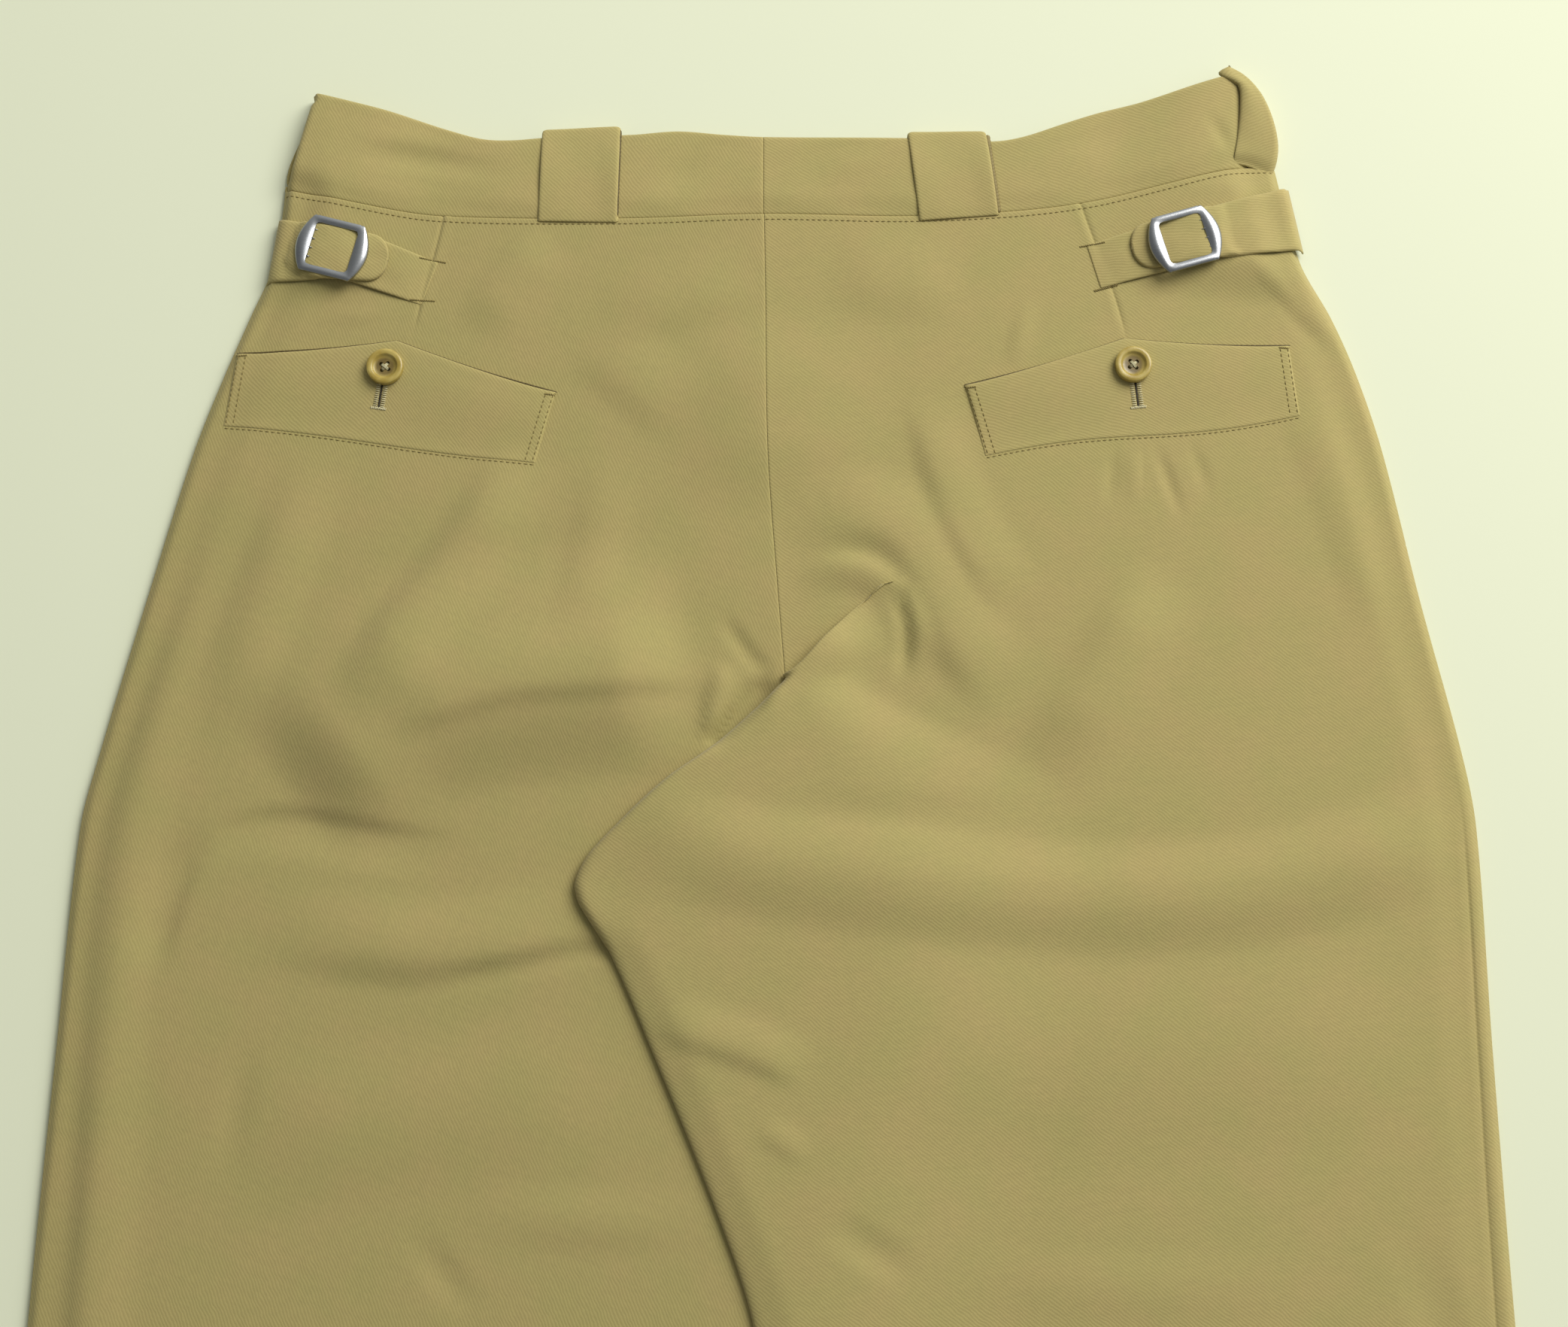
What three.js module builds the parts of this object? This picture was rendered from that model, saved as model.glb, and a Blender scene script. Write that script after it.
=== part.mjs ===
// Pleated cotton trousers laid face down: waist towards +Y, hems towards -Y, seat side up.
// Millimetres. While it is drawn, x = 0, y = 0 is where the centre back seam meets the waist seam.
import * as THREE from 'three';
import { mergeVertices } from 'three/addons/utils/BufferGeometryUtils.js';

// Cloth thicknesses and clearances
const CLOTH = 1.2;
const BAND = 1.6;
const STRAP = 1.6;
const LAYER_GAP = 0.4;
const SEAM_GAP = 0.3;
const SURFACE_LIFT = 0.45;

// Loft of the seat side over the front, and how much of a fold the front leaves on the floor
const LOFT = 2.4;
const LOFT_FADE = 16;
const FRONT_STAYS_DOWN = 3;

// The right leg crosses over the left one from here to the tip of its crotch
const CROSSING = { x: 9, y: -196 };
const RIDE_GAP = 1.2;
const RIDE_HEIGHT = 2 * CLOTH + LAYER_GAP + RIDE_GAP;
const RIDE_RAMP = 24;
const COVERED_FADE = 22;
// Below this the right leg comes down to lie beside the left one
const PARTING = { y: -480, length: 60 };
// Below the tip of the crotch the right leg's own inseam is pressed flatter
const FLAT_INSEAM = { y: -284, length: 30, share: 0.75 };

// Hardware and small pieces
const LOOP_WIDTH = 33;
const LOOP_FOLD = 1.2;
const LOOP_BULGE = 0.5;
const LOOP_CLEARANCE = 0.6;
const BUCKLE = {
  width: 30.5,
  height: 25,
  waist: 21,
  window: 17.8,
  windowHeight: 18.5,
  corner: 3,
  windowCorner: 1.5,
  bevel: 0.4,
  thick: 1.3,
  bow: 1.4,
};
const BUTTON = { radius: 7.5, thick: 3, dish: 0.9, rim: 1.6, shank: 0.9 };

const KHAKI = 0xa99d64;
const METAL = 0xb9bcc0;
const HORN = 0x8f7d45;

// Side seams: x of the left and right outer edges, from the waist to the hem
const SIDE_SEAMS = [
  { y: 22, left: -200, right: 215 },
  { y: -20, left: -204, right: 224 },
  { y: -45, left: -213, right: 236 },
  { y: -69, left: -222, right: 245 },
  { y: -102, left: -233, right: 254 },
  { y: -165, left: -249, right: 266 },
  { y: -227, left: -264, right: 279 },
  { y: -257, left: -270, right: 283 },
  { y: -345, left: -274, right: 284 },
  { y: -445, left: -278, right: 286 },
  { y: -600, left: -282, right: 291 },
  { y: -1010, left: -295, right: 303 },
];

// Centre back and centre front seams, from the waist to the crossing
const CENTRE_SEAM = [
  { y: 22, x: 0 },
  { y: -36, x: 1 },
  { y: -102, x: 2 },
  { y: -159, x: 6 },
  { y: -196, x: 9 },
];

// Below the crossing: each leg's crotch edge and inseam
const INSEAMS = [
  { y: -196, left: 9, right: 9.3 },
  { y: -198.5, left: 9.6, right: 8.8 },
  { y: -211, left: 17, right: -4 },
  { y: -226, left: 26, right: -21 },
  { y: -238, left: 32, right: -38 },
  { y: -257, left: 40, right: -58 },
  { y: -271, left: 44, right: -70 },
  { y: -284, left: 45, right: -73 },
  { y: -307, left: 41, right: -59 },
  { y: -345, left: 33, right: -42 },
  { y: -402, left: 20, right: -18 },
  { y: -445, left: 11, right: -3 },
  { y: -500, left: 2, right: 6 },
  { y: -600, left: -8, right: 17 },
  { y: -1010, left: -59, right: 67 },
];

// Waist seam and top edge of the band, which climb towards both sides
const WAIST_SEAM = [
  { x: -210, y: 13 },
  { x: -169, y: 4 },
  { x: -135, y: -1 },
  { x: -60, y: -2 },
  { x: 0, y: 0 },
  { x: 60, y: -1 },
  { x: 103, y: 1 },
  { x: 135, y: 5 },
  { x: 170, y: 13 },
  { x: 200, y: 20 },
  { x: 225, y: 21 },
];
const BAND_TOP = [
  { x: -190, y: 53.5 },
  { x: -173, y: 49.5 },
  { x: -157, y: 45.5 },
  { x: -131, y: 37 },
  { x: -118, y: 33.5 },
  { x: -106, y: 33 },
  { x: -93, y: 34 },
  { x: -55, y: 35.5 },
  { x: -36, y: 37 },
  { x: -17, y: 35.5 },
  { x: 0, y: 34.5 },
  { x: 60, y: 34 },
  { x: 96, y: 32.5 },
  { x: 109, y: 34.5 },
  { x: 128, y: 41 },
  { x: 142, y: 45.5 },
  { x: 160, y: 50 },
  { x: 186, y: 58.5 },
  { x: 200, y: 64 },
];

// The edge of the tuck that runs from the crossing into the right seat, and fades at its hook
const TUCK_LINE = [
  { x: -80, y: -196 },
  { x: 9, y: -196 },
  { x: 26, y: -180 },
  { x: 38, y: -168 },
  { x: 51, y: -158 },
  { x: 66, y: -152 },
  { x: 110, y: -147 },
  { x: 290, y: -140 },
];

// Rows of the panels: y = level + waist * (waist seam) + tuck * (tuck line)
const LEFT_ROWS = [
  { level: -0.3, waist: 1 },
  { level: -16, waist: 0.9 },
  { level: -34, waist: 0.75 },
  { level: -54, waist: 0.5 },
  { level: -76, waist: 0.25 },
  { level: -98, waist: 0.1 },
  { level: -122 },
  { level: -146 },
  { level: -166 },
  { level: -182 },
  { level: -196 },
  { level: -208 },
  { level: -221 },
  { level: -234 },
  { level: -248 },
  { level: -258 },
  { level: -270 },
  { level: -284 },
  { level: -300 },
  { level: -318 },
  { level: -336 },
  { level: -362 },
  { level: -394 },
  { level: -430 },
  { level: -475 },
  { level: -530 },
  { level: -600 },
  { level: -700 },
  { level: -850 },
  { level: -1010 },
];
const RIGHT_ROWS = [
  { level: -0.3, waist: 1 },
  { level: -18, waist: 0.9 },
  { level: -38, waist: 0.7 },
  { level: -60, waist: 0.45 },
  { level: -84, waist: 0.2 },
  { level: -78, tuck: 0.22 },
  { level: -62, tuck: 0.44 },
  { level: -38, tuck: 0.67 },
  { level: -18, tuck: 0.84 },
  { level: -6, tuck: 0.94 },
  { level: 0.6, tuck: 1 },
  { level: -1.6, tuck: 1 },
  { level: -13, tuck: 1 },
  { level: -38, tuck: 0.92 },
  { level: -80, tuck: 0.8 },
  { level: -135, tuck: 0.6 },
  { level: -190, tuck: 0.4 },
  { level: -238, tuck: 0.2 },
  { level: -284 },
  { level: -300 },
  { level: -318 },
  { level: -340 },
  { level: -368 },
  { level: -402 },
  { level: -445 },
  { level: -500 },
  { level: -600 },
  { level: -700 },
  { level: -850 },
  { level: -1010 },
];

// Folds: a soft ridge, or a trough where height is negative, on a curve that bends towards "by"
const LEFT_FOLDS = [
  {
    name: 'seat ridge',
    width: 32,
    height: 5.4,
    from: [-196, -252], by: [-120, -196], to: [-16, -188],
  },
  {
    name: 'below the seat ridge',
    width: 18,
    height: -1.8,
    from: [-150, -240], by: [-95, -230], to: [-30, -228],
  },
  {
    name: 'thigh roll',
    width: 26,
    height: 2.4,
    from: [-205, -304], by: [-140, -290], to: [-60, -288],
  },
  {
    name: 'arched crease',
    width: 12,
    height: -2,
    from: [-226, -286], by: [-190, -254], to: [-75, -264],
  },
  {
    name: 'hip diagonal, outer',
    width: 15,
    height: 1.8,
    from: [-186, -100], by: [-214, -150], to: [-236, -215],
  },
  {
    name: 'hip diagonal, middle',
    width: 18,
    height: 2,
    from: [-128, -98], by: [-160, -150], to: [-192, -215],
  },
  {
    name: 'hip diagonal, inner',
    width: 18,
    height: 1.8,
    from: [-78, -100], by: [-104, -145], to: [-128, -185],
  },
  {
    name: 'side ridge',
    width: 16,
    height: 2,
    from: [-232, -240], by: [-237, -340], to: [-240, -470],
  },
  {
    name: 'thigh below',
    width: 34,
    height: 1.8,
    from: [-200, -370], by: [-120, -368], to: [-60, -352],
  },
];
const RIGHT_FOLDS = [
  {
    name: 'hook',
    width: 13,
    height: 5.5,
    from: [20, -150], by: [50, -140], to: [60, -186],
  },
  {
    name: 'round the hook',
    width: 14,
    height: 3.4,
    from: [50, -104], by: [70, -138], to: [96, -196],
  },
  {
    name: 'hip fall',
    width: 22,
    height: 1.8,
    from: [176, -112], by: [160, -160], to: [124, -222],
  },
  {
    name: 'thigh ridge',
    width: 24,
    height: 4.6,
    from: [-58, -256], by: [110, -300], to: [280, -242],
  },
  {
    name: 'thigh below',
    width: 46,
    height: 2.4,
    from: [20, -336], by: [150, -352], to: [262, -324],
  },
  {
    name: 'side of the hip',
    width: 15,
    height: 2,
    from: [216, -56], by: [238, -112], to: [250, -180],
  },
  {
    name: 'inseam crease',
    width: 12,
    height: 1.8,
    from: [-36, -342], by: [-10, -352], to: [20, -362],
  },
];
const SEAT_FOLDS = [
  {
    name: 'centre seat fold',
    width: 50,
    height: 2.4,
    from: [-2, -40], by: [0, -86], to: [2, -132],
  },
  {
    name: 'left hip loft',
    width: 62,
    height: 3,
    from: [-200, 20], by: [-196, -8], to: [-190, -40],
  },
  {
    name: 'right hip loft',
    width: 64,
    height: 3.6,
    from: [210, 26], by: [204, 0], to: [200, -40],
  },
];
// How a fold runs out: the share of its height left at its ends, and the share of its length it takes
const RUN_OUT = { end: 0.3, length: 0.28 };
const FOLD_STEPS = 14;
const CROTCH_ROLL = { width: 30, height: 3.2, from: [-70, -284], by: [9, -196], to: [52, -158] };

// Two pleats in each front, measured outwards from the centre seam, and how far down they stay closed
const PLEATS = [
  { top: 66, foot: 74, length: 190 },
  { top: 104, foot: 110, length: 160 },
];
const PLEAT_DEPTH = 1;
const PLEAT_SLOPE = 9;
const PLEAT_STEP = 1.2;
const PLEAT_FADE = 60;

// Welts of the two back pockets: corners, and the point of the top edge under the button
const WELTS = [
  {
    name: 'pocket_welt_left',
    panel: 'back_left',
    low: [-220, -91], high: [-93, -107], topLow: [-216, -61], peak: [-151, -56], topHigh: [-86, -79],
    button: { x: -155, y: -68 },
  },
  {
    name: 'pocket_welt_right',
    panel: 'back_right',
    low: [91, -105], high: [220, -88], topLow: [83, -76], peak: [149, -55], topHigh: [216, -59],
    button: { x: 152, y: -67 },
  },
];

// Side adjusters: buckle middle and turn, the far end of the sewn tab, and both ends of the strap
const ADJUSTERS = [
  {
    side: 'left',
    buckle: { x: -178.4, y: -17.2, turn: -14.5 },
    tabEnd: { x: -138.5, y: -30.8 },
    strapEdge: { x: -208, y: -15 },
    strapTip: { x: -155.3, y: -21.5 },
  },
  {
    side: 'right',
    buckle: { x: 174.7, y: -13.5, turn: 16 },
    tabEnd: { x: 137.5, y: -23.3 },
    strapEdge: { x: 226.5, y: -3.6 },
    strapTip: { x: 152.9, y: -16.4 },
  },
];
const TAB_WIDTH = 20;
const STRAP_WIDTH = 25;
const STRAP_TIP_WIDTH = 19;
const STRAP_FOOT_DROP = 3;
const STRAP_LIFT = 1.2;
// How far round a place the strap and the tab look for what they must clear
const STRAP_REACH = 5.5;
const TAB_CLEARS = 3;
const TIP_ROUNDNESS = { side: 0.85, end: 0.9 };
// A strap is held down at the foot of its tab, this far from the middle of its buckle
const TAB_REACH = 9;
const FIRST_STEP = 2.2;

// Front waistband: where it starts to lie level, the flat steps up to the turn, and the steps round it
const BAND_LEVEL_FROM = 150;
const BAND_FLAT_STEPS = 12;
const BAND_TURN_STEPS = 8;
const BAND_TURN_NEAR = 20;
const BAND_TURN_SPREAD = 0.8;
const BAND_TURNS = {
  left: { lowX: 202.5, highX: 191.8, radius: 1, back: 0, lowY: 14, highY: 53 },
  right: { lowX: 212.5, highX: 201.5, radius: 1.7, back: 11, lowY: 22, highY: 65 },
};
const BAND_ENDS = { left: -200, right: 199 };
const BAND_MIN_LOFT = 0.4;
const LEFT_END_LEAN = 10;

// Value of a column of a table at a place, eased between its rows
function column(table, key, at, wanted) {
  const rising = table[table.length - 1][key] > table[0][key];
  const rows = rising ? table : [...table].reverse();
  const place = THREE.MathUtils.clamp(at, rows[0][key], rows[rows.length - 1][key]);
  let i = 0;
  while (i < rows.length - 2 && place > rows[i + 1][key]) i += 1;
  const before = rows[Math.max(0, i - 1)];
  const a = rows[i];
  const b = rows[i + 1];
  const after = rows[Math.min(rows.length - 1, i + 2)];
  const span = b[key] - a[key];
  const t = (place - a[key]) / span;
  const slopeA = ((b[wanted] - before[wanted]) / (b[key] - before[key])) * span;
  const slopeB = ((after[wanted] - a[wanted]) / (after[key] - a[key])) * span;
  const t2 = t * t;
  const t3 = t2 * t;
  return (2 * t3 - 3 * t2 + 1) * a[wanted] + (t3 - 2 * t2 + t) * slopeA
    + (3 * t2 - 2 * t3) * b[wanted] + (t3 - t2) * slopeB;
}

const sideX = (side, y) => column(SIDE_SEAMS, 'y', y, side);
const innerX = (side, y) => (y > CROSSING.y
  ? column(CENTRE_SEAM, 'y', y, 'x')
  : column(INSEAMS, 'y', y, side));
const waistSeamY = (x) => column(WAIST_SEAM, 'x', x, 'y');
const bandTopY = (x) => column(BAND_TOP, 'x', x, 'y');
const tuckLineY = (x) => column(TUCK_LINE, 'x', x, 'y');
const ease = (t) => THREE.MathUtils.smoothstep(t, 0, 1);

// Height of one fold: a bell across a curved path, running out towards both ends
function foldHeight(fold, x, y) {
  let nearest = Infinity;
  let along = 0;
  for (let i = 0; i <= FOLD_STEPS; i += 1) {
    const t = i / FOLD_STEPS;
    const px = (1 - t) * (1 - t) * fold.from[0] + 2 * t * (1 - t) * fold.by[0] + t * t * fold.to[0];
    const py = (1 - t) * (1 - t) * fold.from[1] + 2 * t * (1 - t) * fold.by[1] + t * t * fold.to[1];
    const distance = Math.hypot(x - px, y - py);
    if (distance < nearest) {
      nearest = distance;
      along = t;
    }
  }
  if (nearest >= fold.width) return 0;
  const bell = (1 - (nearest / fold.width) ** 2) ** 2;
  const run = RUN_OUT.end + (1 - RUN_OUT.end) * ease(Math.min(along, 1 - along) / RUN_OUT.length);
  return fold.height * bell * run;
}

const sum = (folds, x, y) => folds.reduce((total, fold) => total + foldHeight(fold, x, y), 0);

// Loft of the seat side of the left half over its front
function leftLoft(x, y) {
  const fromSide = ease((x - sideX('left', y)) / LOFT_FADE);
  const underOverlap = ease((CROSSING.y - y) / LOFT_FADE);
  const fromInner = 1 - underOverlap * (1 - ease((innerX('left', y) - x) / LOFT_FADE));
  const covered = underOverlap * ease((x - innerX('right', y)) / COVERED_FADE);
  const folds = sum(SEAT_FOLDS, x, y) + (1 - covered) * sum(LEFT_FOLDS, x, y);
  return Math.max(0, fromSide * fromInner * (LOFT + folds));
}

// How much the right leg rides on the left one: 1 over it, falling to 0 just past its hidden edge
function rideShare(x, y) {
  if (y > tuckLineY(x)) return 0;
  const past = y > CROSSING.y
    ? Math.hypot(x - CROSSING.x, y - CROSSING.y)
    : Math.max(0, x - innerX('left', y));
  const apart = ease((PARTING.y - y) / PARTING.length);
  return ease(1 - past / RIDE_RAMP) * (1 - apart);
}

// What the right half lies on, and its own loft
function rightRest(x, y) {
  const share = rideShare(x, y);
  return share > 0 ? share * (leftLoft(x, y) + RIDE_HEIGHT) : 0;
}
function rightLoft(x, y) {
  const fromSide = ease((sideX('right', y) - x) / LOFT_FADE);
  const below = ease((FLAT_INSEAM.y - y) / FLAT_INSEAM.length);
  const inseam = below * (1 - ease((x - innerX('right', y)) / LOFT_FADE));
  const roll = y > tuckLineY(x) ? 0 : foldHeight(CROTCH_ROLL, x, y);
  const folds = sum(SEAT_FOLDS, x, y) + sum(RIGHT_FOLDS, x, y) + roll;
  return Math.max(0, fromSide * (1 - FLAT_INSEAM.share * inseam) * (LOFT + folds));
}

// A pleat shows on the outside of a front as a step that fades out down the leg
function pleatX(pleat, y) {
  return THREE.MathUtils.lerp(pleat.top, pleat.foot, Math.max(0, -y) / pleat.length);
}
function pleatLift(x, y) {
  return PLEATS.reduce((lift, pleat) => {
    const past = Math.abs(x) - pleatX(pleat, y);
    const shape = past < 0 ? 1 + past / PLEAT_SLOPE : 1 - past / PLEAT_STEP;
    const fade = ease((y + pleat.length) / PLEAT_FADE);
    return lift + PLEAT_DEPTH * Math.max(0, shape) * fade;
  }, 0);
}

// Undersides of the four panels
const heights = {
  front_left: (x, y) => Math.max(0, leftLoft(x, y) - FRONT_STAYS_DOWN) + pleatLift(x, y),
  back_left: (x, y) => leftLoft(x, y) + CLOTH + LAYER_GAP,
  front_right: (x, y) => rightRest(x, y)
    + Math.max(0, rightLoft(x, y) - FRONT_STAYS_DOWN)
    + pleatLift(x, y),
  back_right: (x, y) => rightRest(x, y) + rightLoft(x, y) + CLOTH + LAYER_GAP,
};

// A closed wall over a grid of places, each { x, y, bottom, top }
function wallOverGrid(grid) {
  const rows = grid.length;
  const cols = grid[0].length;
  const positions = [];
  const put = (x, y, z) => positions.push(x, y, z);
  grid.forEach((row) => row.forEach((p) => put(p.x, p.y, p.top)));
  grid.forEach((row) => row.forEach((p) => put(p.x, p.y, p.bottom)));
  const under = rows * cols;
  const at = (r, c) => r * cols + c;
  const index = [];
  for (let r = 0; r < rows - 1; r += 1) {
    for (let c = 0; c < cols - 1; c += 1) {
      const [a, b, d, e] = [at(r, c), at(r, c + 1), at(r + 1, c), at(r + 1, c + 1)];
      index.push(a, d, b, b, d, e);
      index.push(a + under, b + under, d + under, b + under, e + under, d + under);
    }
  }
  const rim = [];
  for (let c = 0; c < cols; c += 1) rim.push(at(0, c));
  for (let r = 1; r < rows; r += 1) rim.push(at(r, cols - 1));
  for (let c = cols - 2; c >= 0; c -= 1) rim.push(at(rows - 1, c));
  for (let r = rows - 2; r > 0; r -= 1) rim.push(at(r, 0));
  rim.forEach((a, i) => {
    const b = rim[(i + 1) % rim.length];
    index.push(a, b, a + under, b, b + under, a + under);
  });
  const geometry = new THREE.BufferGeometry();
  geometry.setAttribute('position', new THREE.Float32BufferAttribute(positions, 3));
  geometry.setIndex(index);
  geometry.computeVertexNormals();
  return geometry;
}

const cloth = () => new THREE.MeshStandardMaterial({ color: KHAKI, roughness: 0.9, metalness: 0 });
const metal = () => new THREE.MeshStandardMaterial({ color: METAL, roughness: 0.25, metalness: 1 });
const horn = () => new THREE.MeshStandardMaterial({ color: HORN, roughness: 0.35, metalness: 0 });

const trousers = new THREE.Group();
const pieces = {};

function addPiece(name, geometry, material) {
  const mesh = new THREE.Mesh(geometry, material);
  mesh.name = name;
  pieces[name] = mesh;
  trousers.add(mesh);
  return mesh;
}

// Evenly spaced x places in a back, and in a front places that also follow the edges of its pleats
const evenly = (columns) => (low, high) =>
  Array.from({ length: columns + 1 }, (_, i) => THREE.MathUtils.lerp(low, high, i / columns));
function pleated(side, nearCentre, nearSide) {
  const sign = side === 'left' ? -1 : 1;
  return (low, high, y) => {
    const [centre, outer] = side === 'left' ? [high, low] : [low, high];
    const stops = [centre];
    PLEATS.forEach((pleat) => {
      const at = sign * pleatX(pleat, Math.max(y, -pleat.length));
      stops.push(at - sign * PLEAT_SLOPE, at, at + sign * PLEAT_STEP);
    });
    stops.push(outer);
    const places = [];
    stops.slice(0, -1).forEach((stop, i) => {
      const parts = { 0: nearCentre, 3: 2, [stops.length - 2]: nearSide }[i] ?? 1;
      for (let k = 0; k < parts; k += 1) {
        places.push(THREE.MathUtils.lerp(stop, stops[i + 1], k / parts));
      }
    });
    places.push(outer);
    return side === 'left' ? places.reverse() : places;
  };
}

// Panels: a row runs from the lower x to the higher x of its half
function panel(name, side, rows, spread) {
  const rowY = (row, x) => row.level
    + (row.waist ?? 0) * waistSeamY(x)
    + (row.tuck ?? 0) * tuckLineY(x);
  const lowEdge = side === 'left' ? sideX : (s, y) => innerX(s, y) + SEAM_GAP / 2;
  const highEdge = side === 'left' ? (s, y) => innerX(s, y) - SEAM_GAP / 2 : sideX;
  const settle = (row, edge) => {
    let x = edge(side, row.level);
    for (let i = 0; i < 12; i += 1) x = 0.5 * x + 0.5 * edge(side, rowY(row, x));
    return x;
  };
  const height = heights[name];
  const grid = rows.map((row) => {
    const low = settle(row, lowEdge);
    const high = settle(row, highEdge);
    return spread(low, high, rowY(row, (low + high) / 2)).map((x) => {
      const y = rowY(row, x);
      const bottom = height(x, y);
      return { x, y, bottom, top: bottom + CLOTH };
    });
  });
  return addPiece(name, wallOverGrid(grid), cloth());
}

panel('front_left', 'left', LEFT_ROWS, pleated('left', 3, 4));
panel('front_right', 'right', RIGHT_ROWS, pleated('right', 5, 5));
panel('back_left', 'left', LEFT_ROWS, evenly(12));
panel('back_right', 'right', RIGHT_ROWS, evenly(13));

// Top of a finished piece under a point, found by looking down on it
const down = new THREE.Vector3(0, 0, -1);
function topOf(names, x, y) {
  const ray = new THREE.Raycaster(new THREE.Vector3(x, y, 100), down);
  const hits = ray.intersectObjects(names.map((name) => pieces[name]), false);
  return hits.length ? hits[0].point.z : null;
}

// Waistband halves
const bandLow = (side) => (side === 'left' ? BAND_ENDS.left : SEAM_GAP / 2);
const bandHigh = (side) => (side === 'left' ? -SEAM_GAP / 2 : BAND_ENDS.right);
const BAND_COLUMNS = 14;
const BAND_ROWS = 3;
const bandLoft = (side, x) => (side === 'left' ? leftLoft : rightLoft)(x, waistSeamY(x) - 2);

function backBand(side) {
  const grid = [];
  for (let r = 0; r <= BAND_ROWS; r += 1) {
    const t = r / BAND_ROWS;
    const row = [];
    for (let c = 0; c <= BAND_COLUMNS; c += 1) {
      const u = c / BAND_COLUMNS;
      const lean = side === 'left' ? LEFT_END_LEAN * (1 - u) * (1 - t) : 0;
      const x = THREE.MathUtils.lerp(bandLow(side), bandHigh(side), u) + lean;
      const y = THREE.MathUtils.lerp(bandTopY(x), waistSeamY(x), t);
      const bottom = Math.max(bandLoft(side, x), BAND_MIN_LOFT) + BAND + LAYER_GAP;
      row.push({ x, y, bottom, top: bottom + BAND });
    }
    grid.push(row);
  }
  return addPiece('waistband_back_' + side, wallOverGrid(grid), cloth());
}
backBand('left');
backBand('right');

// A strip between two edges that follow each other; each station gives both edges and the way out
function strip(stations, thick) {
  const moved = (s, offset) => [s.a, s.b].map((p) => p.clone().addScaledVector(s.out, offset));
  const grid = (offset) => stations.map((s) => moved(s, offset));
  const top = grid(thick);
  const bottom = grid(0);
  const positions = [];
  [...top, ...bottom].forEach((pair) => pair.forEach((p) => positions.push(p.x, p.y, p.z)));
  const n = stations.length;
  const under = 2 * n;
  const index = [];
  for (let i = 0; i < n - 1; i += 1) {
    const a = 2 * i;
    index.push(a, a + 2, a + 1, a + 1, a + 2, a + 3);
    index.push(a + under, a + 1 + under, a + 2 + under, a + 1 + under, a + 3 + under, a + 2 + under);
    index.push(a, a + under, a + 2, a + 2, a + under, a + 2 + under);
    index.push(a + 1, a + 3, a + 1 + under, a + 3, a + 3 + under, a + 1 + under);
  }
  const last = 2 * (n - 1);
  index.push(0, 1, under, 1, under + 1, under);
  index.push(last, last + under, last + 1, last + 1, last + under, last + under + 1);
  const geometry = new THREE.BufferGeometry();
  geometry.setAttribute('position', new THREE.Float32BufferAttribute(positions, 3));
  geometry.setIndex(index);
  geometry.computeVertexNormals();
  return geometry;
}

// Front waistband: flat on the floor, then rolled round the side up to the back band
function frontBand(side) {
  const sign = side === 'left' ? -1 : 1;
  const turn = BAND_TURNS[side];
  const rest = (x) => Math.max(0, bandLoft(side, sign * x) - FRONT_STAYS_DOWN);
  const floor = rest(Math.min(turn.highX, BAND_ENDS.right)) + BAND;
  const stations = [];
  const add = (lowX, highX, z, angle) => {
    const out = new THREE.Vector3(sign * Math.sin(angle), 0, -Math.cos(angle));
    const flatLow = Math.min(lowX, turn.lowX);
    const lowIsFar = flatLow < turn.lowX - BAND_TURN_NEAR;
    const highIsFar = highX < turn.highX - BAND_TURN_NEAR;
    const lowY = lowIsFar ? waistSeamY(sign * flatLow) + SEAM_GAP : turn.lowY;
    const highY = highIsFar ? bandTopY(sign * highX) : turn.highY;
    stations.push({
      a: new THREE.Vector3(sign * highX, highY, z),
      b: new THREE.Vector3(sign * lowX, lowY, z),
      out,
    });
  };
  for (let i = 0; i <= BAND_FLAT_STEPS; i += 1) {
    const t = i / BAND_FLAT_STEPS;
    const lowX = THREE.MathUtils.lerp(SEAM_GAP / 2, turn.lowX, t);
    const highX = THREE.MathUtils.lerp(SEAM_GAP / 2, turn.highX, t);
    const level = Math.max(0, (lowX - BAND_LEVEL_FROM) / (turn.lowX - BAND_LEVEL_FROM));
    add(lowX, highX, THREE.MathUtils.lerp(rest(lowX) + BAND, floor, level), 0);
  }
  for (let i = 1; i <= BAND_TURN_STEPS; i += 1) {
    const angle = (Math.PI * i) / BAND_TURN_STEPS;
    const x = turn.radius * Math.sin(angle);
    const z = floor + turn.radius * (1 - Math.cos(angle));
    add(turn.lowX + x, turn.highX + x * BAND_TURN_SPREAD, z, angle);
  }
  if (turn.back > 0) add(turn.lowX - turn.back, turn.highX - 0.5, floor + 2 * turn.radius, Math.PI);
  return stations;
}

for (const side of ['left', 'right']) {
  const stations = frontBand(side);
  const geometry = strip(side === 'left' ? stations.reverse() : stations, BAND);
  addPiece('waistband_front_' + side, geometry, cloth());
}

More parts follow.
